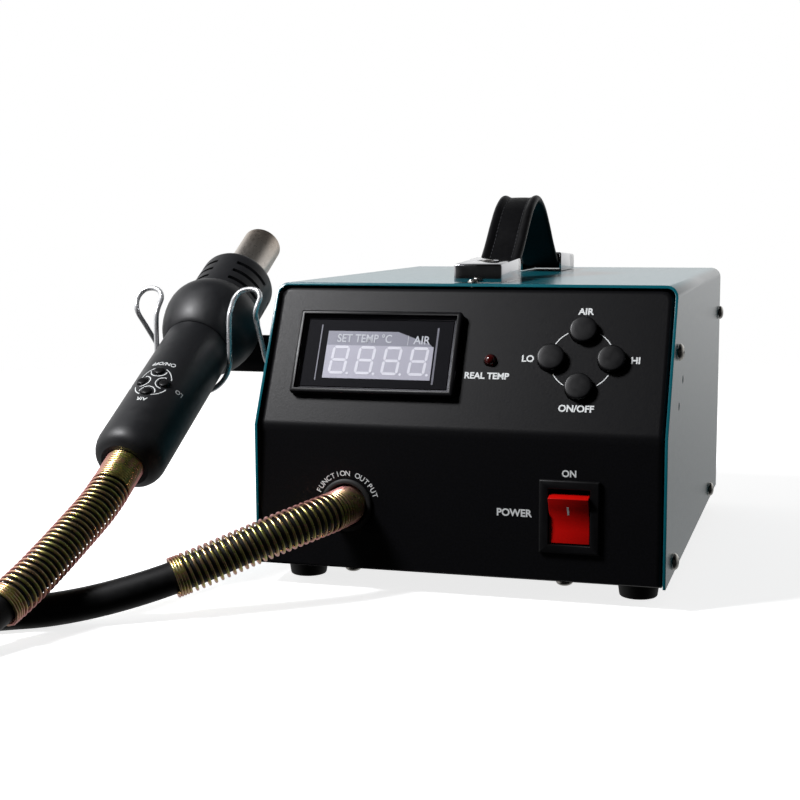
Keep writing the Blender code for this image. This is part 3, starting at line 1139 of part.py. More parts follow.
def make_strap(leather, chrome, steel, parent):
    wide = STRAP_WIDTH / 2
    thick = STRAP_THICKNESS / 2
    roll = STRAP_EDGE_ROLL
    crest = roll * 0.4
    dip = STRAP_WEB - thick
    section = [
        (0, -wide), (thick, -wide + crest), (dip, -wide + roll), (dip, wide - roll), (thick, wide - crest),
        (0, wide), (-thick, wide - crest), (-thick, -wide + crest),
    ]
    route = smooth_route(strap_route(), 8 * MM)
    bm = bmesh.new()
    rings = []
    for point, direction, _, _ in frames_along(route):
        side = Vector((1, 0, 0))
        normal = side.cross(direction).normalized()
        rings.append([bm.verts.new(point + normal * a + side * b) for a, b in section])
    count = len(section)
    for first, second in zip(rings, rings[1:]):
        for i in range(count):
            j = (i + 1) % count
            bm.faces.new((first[i], first[j], second[j], second[i]))
    bm.faces.new(rings[0])
    bm.faces.new(rings[-1])
    strap = add("strap", bm, leather, parent, smooth=True)
    holes = bmesh.new()
    for y in clamp_screw_places():
        rod((STRAP_X, y, TOP_Z - 5 * MM), (STRAP_X, y, TOP_Z + 12 * MM), SHANK_RADIUS + GAP, 8, holes)
    boolean(strap, helper("cutter_strap_holes", holes, parent), "DIFFERENCE")

    for name, facing, screw_y in zip(("front", "rear"), (-1, 1), clamp_screw_places()):
        open_end = STRAP_MIDDLE_Y + facing * STRAP_HALF_SPAN
        far_end = open_end + facing * CLAMP_LENGTH
        low, high = sorted((open_end, far_end))
        half = CLAMP_WIDTH / 2
        base = TOP_Z + GAP
        slope = -facing * CLAMP_RISE / CLAMP_LENGTH

        def top_at(y):
            return base + CLAMP_HEIGHT + (y - far_end) * slope

        side = [(low, base), (high, base), (high, top_at(high)), (low, top_at(low))]
        bm = prism(side, STRAP_X - half, STRAP_X + half)
        rounded_edges(bm, lambda a, b: min(a.z, b.z) > base + CLAMP_HEIGHT - 1e-6 or (
            abs(a.z - b.z) > 1e-6 and abs(a.y - far_end) < 1e-6), 1.2 * MM, 2)
        clamp = add(f"strap_clamp_{name}", bm, chrome, parent, smooth=True)
        inner_low, inner_high = sorted((open_end - facing * 5 * MM, far_end - facing * CLAMP_WALL))
        side = [(inner_low, base - 5 * MM), (inner_high, base - 5 * MM),
                (inner_high, top_at(inner_high) - CLAMP_WALL), (inner_low, top_at(inner_low) - CLAMP_WALL)]
        shape = prism(side, STRAP_X - half + CLAMP_WALL, STRAP_X + half - CLAMP_WALL)
        boolean(clamp, helper(f"cutter_clamp_{name}", shape, parent), "DIFFERENCE")
        top = top_at(screw_y)
        seat = top - CLAMP_DISH_DEPTH
        strap_top = TOP_Z + GAP + STRAP_LIFT + STRAP_THICKNESS
        dish = HEAD_RADIUS + GAP
        cup = rod((STRAP_X, screw_y, strap_top + GAP), (STRAP_X, screw_y, top - CLAMP_WALL / 2), dish + CLAMP_WALL, 16)
        boolean(clamp, helper(f"joiner_clamp_cup_{name}", cup, parent), "UNION")
        hollow = turned([(0, seat), (dish, seat), (dish + CLAMP_DISH_FLARE, top), (dish + CLAMP_DISH_FLARE, top + 1 * MM),
                         (0, top + 1 * MM)], 16)
        boolean(clamp, helper(f"cutter_clamp_dish_{name}", hollow, parent, (STRAP_X, screw_y, 0)), "DIFFERENCE")
        bore = rod((STRAP_X, screw_y, seat - 6 * MM), (STRAP_X, screw_y, seat + 1 * MM), SHANK_RADIUS + GAP, 8)
        boolean(clamp, helper(f"cutter_clamp_bore_{name}", bore, parent), "DIFFERENCE")
        make_screw(f"strap_screw_{name}", steel, parent, (STRAP_X, screw_y, seat), (0, 0, 0), shank=CLAMP_HEIGHT + 4 * MM)


# Pump, power board, inlet and air pipe

def make_pump(casting, iron, parent):
    base_low = CHASSIS_TOP_FACE + GAP
    plate_low = base_low + PUMP_FOOT_HEIGHT
    plate_high = plate_low + PUMP_BASE_THICKNESS
    half = (PUMP_BASE_WIDTH / 2, PUMP_BASE_DEPTH / 2)
    pump = add("pump_housing", block((PUMP_X - half[0], PUMP_Y - half[1], plate_low), (PUMP_X + half[0], PUMP_Y + half[1], plate_high)),
               casting, parent)
    more = bmesh.new()
    inset = 9 * MM
    for sx in (-1, 1):
        for sy in (-1, 1):
            x = PUMP_X + sx * (half[0] - inset)
            y = PUMP_Y + sy * (half[1] - inset)
            rod((x, y, base_low), (x, y, plate_high - 1 * MM), 5 * MM, 8, more)
    boolean(pump, helper("joiner_pump_feet", more, parent), "UNION")
    chambers = bmesh.new()
    centre_z = plate_high + PUMP_CHAMBER_RADIUS - 2 * MM
    for sx in (-1, 1):
        outer_x = PUMP_X + sx * half[0]
        inner_x = outer_x - sx * PUMP_CHAMBER_LENGTH
        rod((outer_x, PUMP_AXIS_Y, centre_z), (inner_x, PUMP_AXIS_Y, centre_z), PUMP_CHAMBER_RADIUS, 16, chambers)
    boolean(pump, helper("joiner_pump_chambers", chambers, parent), "UNION")
    reach = half[0] - PUMP_CHAMBER_LENGTH - ARMATURE_STROKE - 2 * GAP
    bar_y = PUMP_AXIS_Y
    bar_up = ARMATURE_HEIGHT / 2
    pin_end = reach + ARMATURE_PIN_LENGTH
    bore_end = pin_end + ARMATURE_STROKE + 2 * GAP
    bores = rod((PUMP_X - bore_end, bar_y, centre_z), (PUMP_X + bore_end, bar_y, centre_z), ARMATURE_PIN_RADIUS + GAP, 12)
    boolean(pump, helper("cutter_pump_bores", bores, parent), "DIFFERENCE")

    core_half = PUMP_CORE_WIDTH / 2
    core_front = PUMP_Y + 4 * MM
    core = add("pump_coil", block((PUMP_X - core_half, core_front, plate_high + GAP),
                                  (PUMP_X + core_half, core_front + PUMP_CORE_DEPTH, plate_high + GAP + PUMP_CORE_HEIGHT)), iron, parent)
    winding = block((PUMP_X - core_half - 5 * MM, core_front + 6 * MM, plate_high + GAP + 8 * MM),
                    (PUMP_X + core_half + 5 * MM, core_front + PUMP_CORE_DEPTH - 6 * MM, plate_high + GAP + PUMP_CORE_HEIGHT - 8 * MM))
    boolean(core, helper("joiner_pump_winding", winding, parent), "UNION")

    bar = block((-reach, -ARMATURE_THICKNESS / 2, -bar_up), (reach, ARMATURE_THICKNESS / 2, bar_up))
    armature = add("pump_armature", bar, iron, parent, (PUMP_X, bar_y, centre_z))
    magnet = block((-MAGNET_WIDTH / 2, -ARMATURE_THICKNESS / 2 - MAGNET_PROUD_FRONT, -MAGNET_HEIGHT / 2),
                   (MAGNET_WIDTH / 2, ARMATURE_THICKNESS / 2 + MAGNET_PROUD_BACK, MAGNET_HEIGHT / 2))
    boolean(armature, helper("joiner_armature_magnet", magnet, parent, (PUMP_X, bar_y, centre_z)), "UNION")
    pins = rod((-pin_end, 0, 0), (pin_end, 0, 0), ARMATURE_PIN_RADIUS, 12)
    boolean(armature, helper("joiner_armature_pins", pins, parent, (PUMP_X, bar_y, centre_z)), "UNION")


def make_power_board(laminate, parent):
    half = (POWER_BOARD_WIDTH / 2, POWER_BOARD_DEPTH / 2)
    low = CHASSIS_TOP_FACE + GAP + STANDOFF_HEIGHT
    high = low + BOARD_THICKNESS
    board = add("power_board", block((POWER_BOARD_X - half[0], POWER_BOARD_Y - half[1], low),
                                     (POWER_BOARD_X + half[0], POWER_BOARD_Y + half[1], high)), laminate, parent)
    more = bmesh.new()
    inset = 5 * MM
    for sx in (-1, 1):
        for sy in (-1, 1):
            x = POWER_BOARD_X + sx * (half[0] - inset)
            y = POWER_BOARD_Y + sy * (half[1] - inset)
            rod((x, y, CHASSIS_TOP_FACE + GAP), (x, y, high - 0.4 * MM), 2.5 * MM, 8, more)
    middle = high - 0.5 * MM
    left = POWER_BOARD_X - half[0] + BOARD_PART_SPACE
    block((left, POWER_BOARD_Y - TRANSFORMER_DEPTH / 2, middle),
          (left + TRANSFORMER_WIDTH, POWER_BOARD_Y + TRANSFORMER_DEPTH / 2, high + TRANSFORMER_HEIGHT), more)
    can_x = left + TRANSFORMER_WIDTH + BOARD_PART_SPACE / 2 + CAPACITOR_RADIUS
    rod((can_x, POWER_BOARD_Y, middle), (can_x, POWER_BOARD_Y, high + CAPACITOR_HEIGHT), CAPACITOR_RADIUS, 12, more)
    sink_x = can_x + CAPACITOR_RADIUS + BOARD_PART_SPACE / 4
    block((sink_x, POWER_BOARD_Y - HEAT_SINK_DEPTH / 2, middle),
          (sink_x + HEAT_SINK_WIDTH, POWER_BOARD_Y + HEAT_SINK_DEPTH / 2, high + HEAT_SINK_HEIGHT), more)
    boolean(board, helper("joiner_board_parts", more, parent), "UNION")


def make_inlet(plastic, parent):
    """A three pin mains inlet in the rear panel, open to the rear."""
    back = BODY_DEPTH + GAP
    flange = 2.5 * MM
    x, z = INLET_X, INLET_HEIGHT
    half = (INLET_FLANGE_WIDTH / 2, INLET_FLANGE_HEIGHT / 2)
    corner = 8 * MM
    outline = [
        (x - half[0], z), (x - half[0] + corner, z - half[1]), (x + half[0] - corner, z - half[1]),
        (x + half[0], z), (x + half[0] - corner, z + half[1]), (x - half[0] + corner, z + half[1]),
    ]
    inlet = add("mains_inlet", prism(outline, back, back + flange, "XZ"), plastic, parent)
    body = (INLET_CAVITY_WIDTH / 2 + INLET_WALL, INLET_CAVITY_HEIGHT / 2 + INLET_WALL)
    shape = block((x - body[0], back - INLET_DEPTH, z - body[1]), (x + body[0], back + flange / 2, z + body[1]))
    boolean(inlet, helper("joiner_inlet_body", shape, parent), "UNION")
    cavity = (INLET_CAVITY_WIDTH / 2, INLET_CAVITY_HEIGHT / 2)
    floor = back - INLET_DEPTH + 4 * MM
    shape = block((x - cavity[0], floor, z - cavity[1]), (x + cavity[0], back + 2 * flange, z + cavity[1]))
    boolean(inlet, helper("cutter_inlet_cavity", shape, parent), "DIFFERENCE")
    pins = bmesh.new()
    for px, pz in ((-7 * MM, -2 * MM), (0, 2 * MM), (7 * MM, -2 * MM)):
        block((x + px - 1 * MM, floor - 2 * MM, z + pz - 2 * MM), (x + px + 1 * MM, back - 5 * MM, z + pz + 2 * MM), pins)
    boolean(inlet, helper("joiner_inlet_pins", pins, parent), "UNION")


def make_air_pipe(silicone, parent):
    """Carries air from the pump's left chamber to the hose behind the gland."""
    chamber_z = CHASSIS_TOP_FACE + GAP + PUMP_FOOT_HEIGHT + PUMP_BASE_THICKNESS + PUMP_CHAMBER_RADIUS - 2 * MM
    start_x = PUMP_X - PUMP_BASE_WIDTH / 2 - GAP
    front = 10 * MM + GAP
    run = PUMP_AXIS_Y - front
    points = [
        (OUTLET_X, front, OUTLET_HEIGHT), (OUTLET_X, front + run * 0.16, OUTLET_HEIGHT),
        (OUTLET_X, front + run * 0.41, OUTLET_HEIGHT * 0.7 + chamber_z * 0.3),
        (start_x - 6 * AIR_PIPE_RADIUS, front + run * 0.7, OUTLET_HEIGHT * 0.2 + chamber_z * 0.8),
        (start_x - 5 * AIR_PIPE_RADIUS, front + run * 0.88, chamber_z),
        (start_x - 4 * AIR_PIPE_RADIUS, front + run * 0.97, chamber_z),
        (start_x - 2 * AIR_PIPE_RADIUS, PUMP_AXIS_Y, chamber_z), (start_x, PUMP_AXIS_Y, chamber_z),
    ]
    section = arc((0, 0), AIR_PIPE_RADIUS, 0, 360, 8)[:-1]
    add("air_pipe", swept(smooth_route(points, 11 * MM), section), silicone, parent, smooth=True)


def set_on_origin(stand):
    """Moves everything so that the footprint of the pieces that aren't free hose is centred on the origin."""
    bpy.context.view_layer.update()
    graph = bpy.context.evaluated_depsgraph_get()
    low = Vector((math.inf,) * 3)
    high = -low
    for piece in bpy.context.scene.objects:
        if piece.type not in {"MESH", "CURVE"} or piece.hide_render or piece.name in FREE_HOSE:
            continue
        seen = piece.evaluated_get(graph)
        mesh = seen.to_mesh()
        for vertex in mesh.vertices:
            place = seen.matrix_world @ vertex.co
            low = Vector(map(min, low, place))
            high = Vector(map(max, high, place))
        seen.to_mesh_clear()
    stand.location = (-(low.x + high.x) / 2, -(low.y + high.y) / 2, -low.z)
    bpy.context.view_layer.update()


def main():
    clear_scene()
    teal_steel = finish("teal_painted_steel", (0.01, 0.15, 0.19), 0.3)
    black_steel = finish("black_textured_steel", (0.018, 0.018, 0.02), 0.5)
    rubber = finish("black_rubber", (0.015, 0.015, 0.015), 0.6)
    black_plastic = finish("black_plastic", (0.02, 0.02, 0.022), 0.42)
    screw_steel = finish("nickel_screws", (0.62, 0.61, 0.58), 0.3, 1.0)
    chrome = finish("chrome", (0.8, 0.8, 0.8), 0.08, 1.0)
    pipe_steel = finish("stainless_pipe", (0.5, 0.47, 0.43), 0.3, 1.0)
    zinc = finish("yellow_zinc", (0.6, 0.52, 0.25), 0.25, 1.0)
    red = finish("red_plastic", (0.65, 0.015, 0.01), 0.3)
    lens = finish("red_lens", (0.2, 0.01, 0.01), 0.2)
    tint = finish("dark_window", (0.01, 0.01, 0.012), 0.1)
    laminate = finish("green_laminate", (0.02, 0.12, 0.05), 0.5)
    mica = finish("mica", (0.55, 0.45, 0.32), 0.7)
    casting = finish("cast_aluminium", (0.5, 0.5, 0.52), 0.5, 1.0)
    iron = finish("iron_core", (0.16, 0.15, 0.15), 0.5, 0.6)
    silicone = finish("silicone", (0.75, 0.75, 0.7), 0.6)

    stand = empty("stand", None)
    fascia = empty("fascia", stand, (0, *panel_line(PANEL_RECESS)[1]), (math.pi / 2 - SLOPE_ANGLE, 0, 0))
    lower_face = empty("lower_face", stand, (0, PANEL_RECESS, 0), (math.pi / 2, 0, 0))
    handpiece = empty("handpiece_axis", stand, handpiece_point(0), (HANDPIECE_RISE - math.pi / 2, 0, 0))
    rolled = empty("handpiece_roll", handpiece, (0, 0, 0), (0, 0, HANDPIECE_ROLL))

    make_cover(teal_steel, stand)
    make_front_panel(black_steel, stand, fascia, lower_face)
    make_chassis(black_steel, stand)
    make_feet(rubber, stand)
    make_cabinet_screws(screw_steel, stand)
    make_display(black_plastic, tint, laminate, fascia)
    make_buttons(black_plastic, fascia)
    make_control_board(laminate, fascia)
    make_lamp(lens, fascia)
    make_switch(black_plastic, red, lower_face)
    make_gland(rubber, lower_face)
    route = outlet_route()
    make_hose("hose_outlet_run", rubber, stand, route)
    make_spring("outlet_spring", zinc, stand, route, 6 * MM, OUTLET_SPRING_LENGTH, OUTLET_SPRING_CLOSED)
    route = handpiece_route()
    make_hose("hose_handpiece_run", rubber, stand, route)
    make_spring("handpiece_spring", zinc, stand, route, 12 * MM, HANDPIECE_SPRING_LENGTH, HANDPIECE_SPRING_CLOSED)
    make_coil(rubber, stand)
    make_handpiece(black_plastic, pipe_steel, mica, laminate, rolled)
    make_pad_buttons(black_plastic, rolled)
    make_holder(chrome, black_steel, screw_steel, stand)
    make_strap(black_plastic, chrome, screw_steel, stand)
    make_pump(casting, iron, stand)
    make_power_board(laminate, stand)
    make_inlet(black_plastic, stand)
    make_air_pipe(silicone, stand)
    set_on_origin(stand)


main()
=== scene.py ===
"""Looks of the hot air rework station, laid out as a Blender add-on.

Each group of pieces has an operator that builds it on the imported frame, and its sizes and colours are
properties of the scene. Lengths are metres in the row frame where nothing else is said. Places on the
station are in millimetres from the middle of the cabinet's front edge, on the surface that it stands on.
"""

import json
import math

import bmesh
import bpy
from bpy.props import FloatProperty, FloatVectorProperty, IntProperty, PointerProperty
from mathutils import Matrix, Vector
from mathutils.bvhtree import BVHTree

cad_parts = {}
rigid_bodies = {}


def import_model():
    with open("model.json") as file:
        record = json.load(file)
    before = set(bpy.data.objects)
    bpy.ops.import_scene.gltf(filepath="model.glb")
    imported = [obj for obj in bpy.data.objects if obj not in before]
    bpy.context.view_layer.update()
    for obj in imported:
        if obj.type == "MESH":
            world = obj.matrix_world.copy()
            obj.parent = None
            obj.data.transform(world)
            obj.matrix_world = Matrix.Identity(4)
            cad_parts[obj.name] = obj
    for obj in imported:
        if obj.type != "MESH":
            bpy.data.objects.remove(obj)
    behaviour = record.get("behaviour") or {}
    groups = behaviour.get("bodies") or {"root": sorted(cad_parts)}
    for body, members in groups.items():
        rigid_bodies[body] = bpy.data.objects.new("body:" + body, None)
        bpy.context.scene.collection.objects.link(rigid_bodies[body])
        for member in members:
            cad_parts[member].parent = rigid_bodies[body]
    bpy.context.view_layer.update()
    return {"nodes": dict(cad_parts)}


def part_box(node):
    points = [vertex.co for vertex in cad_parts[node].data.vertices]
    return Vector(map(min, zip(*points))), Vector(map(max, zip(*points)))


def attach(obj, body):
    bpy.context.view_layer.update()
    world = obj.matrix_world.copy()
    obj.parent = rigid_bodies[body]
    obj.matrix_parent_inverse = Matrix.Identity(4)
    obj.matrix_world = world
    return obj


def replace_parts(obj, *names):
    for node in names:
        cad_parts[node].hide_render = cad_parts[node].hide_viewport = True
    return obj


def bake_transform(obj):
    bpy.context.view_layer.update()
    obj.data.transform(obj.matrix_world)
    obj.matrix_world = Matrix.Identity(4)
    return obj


for old in list(bpy.data.objects):
    bpy.data.objects.remove(old, do_unlink=True)
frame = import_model()

bl_info = {
    "name": "Hot Air Rework Station",
    "version": (1, 0, 0),
    "blender": (4, 5, 0),
    "location": "View3D > Sidebar > Station",
    "description": "Builds the visible pieces of a hot air rework station on its packed frame",
    "category": "Object",
}

MM = 0.001
COVER_LOW, COVER_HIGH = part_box("cover")
ORIGIN = Vector(((COVER_LOW[0] + COVER_HIGH[0]) / 2, COVER_LOW[1], 0))

# In millimetres and degrees. Places on a panel are across and up, those on the grip along and across it.
PANEL_FRONT = 0.8
KINK_HEIGHT = 71.81
FASCIA_BACK, FASCIA_UP = 31, 61
OUTLET = (-47.8, 38)
RING = (51.7, 34.3)
RING_REACH = 12.8
HOSE_LIES_AT = 6.9
TAIL = (-138, -30.4, 56.5)
SLOPE = 29.8
GRIP_RADIUS = 16
PAD = 40
PAD_BUTTONS = (("on_off", 47.6, 0, 270), ("high", PAD, -5.2, 0), ("low", PAD, 5.2, 180), ("air", 32.4, 0, 90))


def linear(code):
    """An sRGB hex colour as linear red, green and blue."""
    parts = [int(code[i:i + 2], 16) / 255 for i in (0, 2, 4)]
    return tuple(c / 12.92 if c <= 0.04045 else ((c + 0.055) / 1.055) ** 2.4 for c in parts)


# Settings

def size(name, description, default, low, high):
    """A length that a user sets, from millimetres."""
    return FloatProperty(
        name=name, description=description, default=default * MM, min=low * MM, max=high * MM,
        unit="LENGTH", subtype="DISTANCE", precision=5,
    )


def tint(name, description, code):
    return FloatVectorProperty(
        name=name, description=description, default=linear(code), size=3, min=0.0, max=1.0, subtype="COLOR",
    )


class StationSettings(bpy.types.PropertyGroup):
    cover_colour: tint("Cover", "Powder coat of the cabinet's cover", "085c68")
    panel_colour: tint("Panel", "Textured paint of the front panel and the chassis", "0a0a0c")
    grip_colour: tint("Handpiece", "Moulded handpiece shells", "131417")
    rocker_colour: tint("Rocker", "Mains switch rocker", "c40d08")
    print_colour: tint("Legends", "Screen printed legends", "dfe2e2")
    hose_diameter: size("Hose", "Outside diameter of the hose", 13.5, 2, 30)
    spring_diameter: size("Spring", "Outside diameter of the coil springs", 17.4, 4, 40)
    spring_wire: size("Spring wire", "Wire diameter of the coil springs", 1.2, 0.2, 4)
    spring_pitch: size("Spring pitch", "Distance between the open turns", 2.75, 1, 10)
    edge_radius: size("Edge", "Radius of softened sheet edges", 0.3, 0, 3)
    legend_height: size("Legend height", "Height of the capitals beside the buttons", 3.0, 1, 10)
    legend_thickness: size("Ink", "Thickness of the printed legends", 0.05, 0.01, 1)
    stitch_length: size("Stitch", "Length of one stitch on the strap", 2.6, 1, 10)
    coil_turn_steps: IntProperty(
        name="Wire steps", description="Points in each turn of a coil spring", default=14, min=6, max=48,
    )


# Places

def station(x, y, z):
    """A point on the station, from millimetres."""
    return Vector((ORIGIN.x + x * MM, ORIGIN.y + y * MM, z * MM))


def move(x, y, z=0):
    """A shift by millimetres."""
    return Matrix.Translation((x * MM, y * MM, z * MM))


def turn(degrees, axis):
    return Matrix.Rotation(math.radians(degrees), 4, axis)


def fascia_place():
    """Sloping upper panel: across, up the slope and out of the face, from the middle of the kink."""
    tilt = 90 - math.degrees(math.atan2(FASCIA_BACK, FASCIA_UP))
    return Matrix.Translation(station(0, PANEL_FRONT, KINK_HEIGHT)) @ turn(tilt, "X")


def lower_place():
    """Upright lower panel: across, up and out of the face."""
    return Matrix.Translation(station(0, PANEL_FRONT, 0)) @ turn(90, "X")


def handpiece_place():
    """Handpiece: its length runs along Z from the tail, and the button pad faces -Y."""
    return Matrix.Translation(station(*TAIL)) @ turn(SLOPE - 90, "X") @ turn(4, "Z")


def pad_place(along, across):
    """A button's place on the grip: Z runs out through the pad."""
    return handpiece_place() @ move(across, 0, along) @ turn(90, "X")


# Node trees

def node(tree, kind, links=None, **values):
    """Adds one node with its settings. An input takes a constant, a socket or a node's first output."""
    made = tree.nodes.new(kind)
    for key, value in values.items():
        setattr(made, key, value)
    for key, value in (links or {}).items():
        if isinstance(value, bpy.types.Node):
            value = value.outputs[0]
        if isinstance(value, bpy.types.NodeSocket):
            tree.links.new(value, made.inputs[key])
        else:
            made.inputs[key].default_value = value
    return made


def lumps(tree, size_mm, detail=3.0, roughness=0.5, stretch=None):
    """Noise in the object's own space, with lumps of about the given size."""
    place = node(tree, "ShaderNodeTexCoord").outputs["Object"]
    if stretch:
        place = node(tree, "ShaderNodeMapping", {"Vector": place, "Scale": stretch})
    return node(tree, "ShaderNodeTexNoise", {
        "Vector": place, "Scale": 1000 / size_mm, "Detail": detail, "Roughness": roughness,
    }).outputs["Fac"]


def pattern(tree, source, low=None, high=None, to_low=0, to_high=1, **values):
    """Lumps, what a function adds or a value at hand, with its part from low to high taken to a new range."""
    if callable(source):
        source = source(tree)
    elif isinstance(source, tuple):
        source = lumps(tree, *source)
    if low is None:
        return source
    return node(tree, "ShaderNodeMapRange", {
        "Value": source, "From Min": low, "From Max": high, "To Min": to_low, "To Max": to_high,
    }, **values)


def mixed_tones(tree, tones, mottle):
    """One hex tone, or two mixed by a pattern: two hex, or a colour of the settings and two factors."""
    if isinstance(tones, str):
        return (*linear(tones), 1)
    if len(tones) == 3:
        base = getattr(bpy.context.scene.station_settings, tones[0])
        pair = [[min(1.0, c * factor) for c in base] for factor in tones[1:]]
    else:
        pair = [linear(code) for code in tones]
    return node(tree, "ShaderNodeMix", {
        "Factor": pattern(tree, *mottle), 6: (*pair[0], 1), 7: (*pair[1], 1),
    }, data_type="RGBA").outputs[2]


def colour_stops(made, *stops):
    """Gives a colour ramp its (position, hex) stops."""
    elements = made.color_ramp.elements
    elements.remove(elements[1])
    elements[0].position = stops[0][0]
    elements[0].color = (*linear(stops[0][1]), 1)
    for position, code in stops[1:]:
        elements.new(position).color = (*linear(code), 1)
    return made


def surface(tree, tones, rough, mottle=None, bump=None, levels=()):
    """A shader from a row of the table of finishes."""
    inputs = {
        "Base Color": tones(tree) if callable(tones) else mixed_tones(tree, tones, mottle),
        "Roughness": pattern(tree, *rough) if isinstance(rough, tuple) else rough,
    }
    if bump:
        source, strength, depth_mm = bump
        inputs["Normal"] = node(tree, "ShaderNodeBump", {
            "Height": pattern(tree, source), "Strength": strength, "Distance": depth_mm * MM,
        })
    return node(tree, "ShaderNodeBsdfPrincipled", inputs | dict(levels))


def material(name):
    """The finish of a name, made once."""
    made = bpy.data.materials.get(name)
    if made is None:
        made = bpy.data.materials.new(name)
        made.use_nodes = True
        tree = made.node_tree
        tree.nodes.clear()
        row = FINISHES[name]
        shader = row(tree) if callable(row) else surface(tree, **row)
        node(tree, "ShaderNodeOutputMaterial", {"Surface": shader})
    return made


# Materials

def film_with_painted_sheen(tree):
    """Green gold patches where the coil faces front, and painted sheen: rose down both its sides, from the way
    that each turn faces one fixed direction.
    """
    front = (0.43, -0.88, 0.18)
    outward = node(tree, "ShaderNodeAttribute", attribute_name="outward").outputs["Vector"]
    turned = node(tree, "ShaderNodeVectorMath", {0: outward, 1: front}, operation="DOT_PRODUCT")
    facing = node(tree, "ShaderNodeMath", {0: turned.outputs["Value"]}, operation="ABSOLUTE")
    # Painted sheen: the rose share grows as a turn faces away from the fixed front direction, standing in for
    # the film's colour at a glancing view.
    painted_rose_sheen = pattern(tree, facing, 0.2, 0.62, 0.9, 0.0)
    patches = colour_stops(
        node(tree, "ShaderNodeValToRGB", {"Fac": lumps(tree, 6, 3, 0.6)}), (0.3, "c6bd74"), (0.4, "ddd186"),
        (0.46, "c2cb78"), (0.53, "e3bd9c"), (0.62, "d3c876"), (0.72, "e6dfb2"),
    )
    return node(tree, "ShaderNodeMix", {
        "Factor": painted_rose_sheen, 6: patches, 7: (*linear("e2989a"), 1),
    }, data_type="RGBA").outputs[2]


def heat_tint(tree):
    """Straw brown towards the mouth, in uneven streaks."""
    along = node(tree, "ShaderNodeAttribute", attribute_name="along").outputs["Fac"]
    streaks = pattern(tree, (3, 6, 0.7), 0.2, 0.8, -0.12, 0.12)
    heat = node(tree, "ShaderNodeMath", {0: along, 1: streaks}, operation="ADD")
    return colour_stops(
        node(tree, "ShaderNodeValToRGB", {"Fac": heat}), (0.0, "cfc9c2"), (0.55, "c6beb5"), (1.0, "b7aa9d"),
    ).outputs[0]


def brushed_rings(tree):
    """Fine scratches round the pipe."""
    ring = node(tree, "ShaderNodeAttribute", attribute_name="rings").outputs["Fac"]
    return node(tree, "ShaderNodeTexNoise", {
        "W": ring, "Scale": 1.0, "Detail": 3.0,
    }, noise_dimensions="1D").outputs["Fac"]


def pebbles(tree):
    """Embossed grain, 0.9 mm across."""
    cells = node(tree, "ShaderNodeTexVoronoi", {
        "Vector": node(tree, "ShaderNodeTexCoord").outputs["Object"], "Scale": 1000 / 0.9,
    }, feature="F1")
    return cells.outputs["Distance"]


def smoked_acrylic(tree):
    """What lies behind shows through dimmed, and the face mirrors the light."""
    through = node(tree, "ShaderNodeBsdfTransparent", {"Color": (0.94, 0.94, 0.96, 1)})
    mirror = node(tree, "ShaderNodeBsdfPrincipled", {
        "Base Color": (0.01, 0.01, 0.012, 1), "Roughness": pattern(tree, (18, 4), 0.3, 0.8, 0.04, 0.12),
    })
    mirrored = node(tree, "ShaderNodeFresnel", {"IOR": 1.49})
    edge = node(tree, "ShaderNodeMath", {0: mirrored, 1: 0.02}, operation="ADD")
    back = node(tree, "ShaderNodeNewGeometry").outputs["Backfacing"]
    front = node(tree, "ShaderNodeMath", {0: 1.0, 1: back}, operation="SUBTRACT")
    share = node(tree, "ShaderNodeMath", {0: edge, 1: front}, operation="MULTIPLY")
    return node(tree, "ShaderNodeMixShader", {0: share, 1: through, 2: mirror})


def studio_paper(tree):
    """Pale paper, which fades to plain white away from the object's shadow."""
    paper = node(tree, "ShaderNodeBsdfPrincipled", {
        "Base Color": (0.92, 0.92, 0.92, 1), "Roughness": 0.9, "Specular IOR Level": 0.0,
        "Emission Color": (1, 1, 1, 1), "Emission Strength": 0.8,
    })
    place = node(tree, "ShaderNodeTexCoord").outputs["Object"]
    far = node(tree, "ShaderNodeVectorMath", {0: place}, operation="LENGTH").outputs["Value"]
    seen = node(tree, "ShaderNodeLightPath").outputs["Is Camera Ray"]
    near = pattern(tree, far, 0.45, 0.95, 1, 0)
    share = node(tree, "ShaderNodeMath", {0: near, 1: seen}, operation="MULTIPLY")
    return node(tree, "ShaderNodeMixShader", {0: share, 1: node(tree, "ShaderNodeBsdfTransparent"), 2: paper})


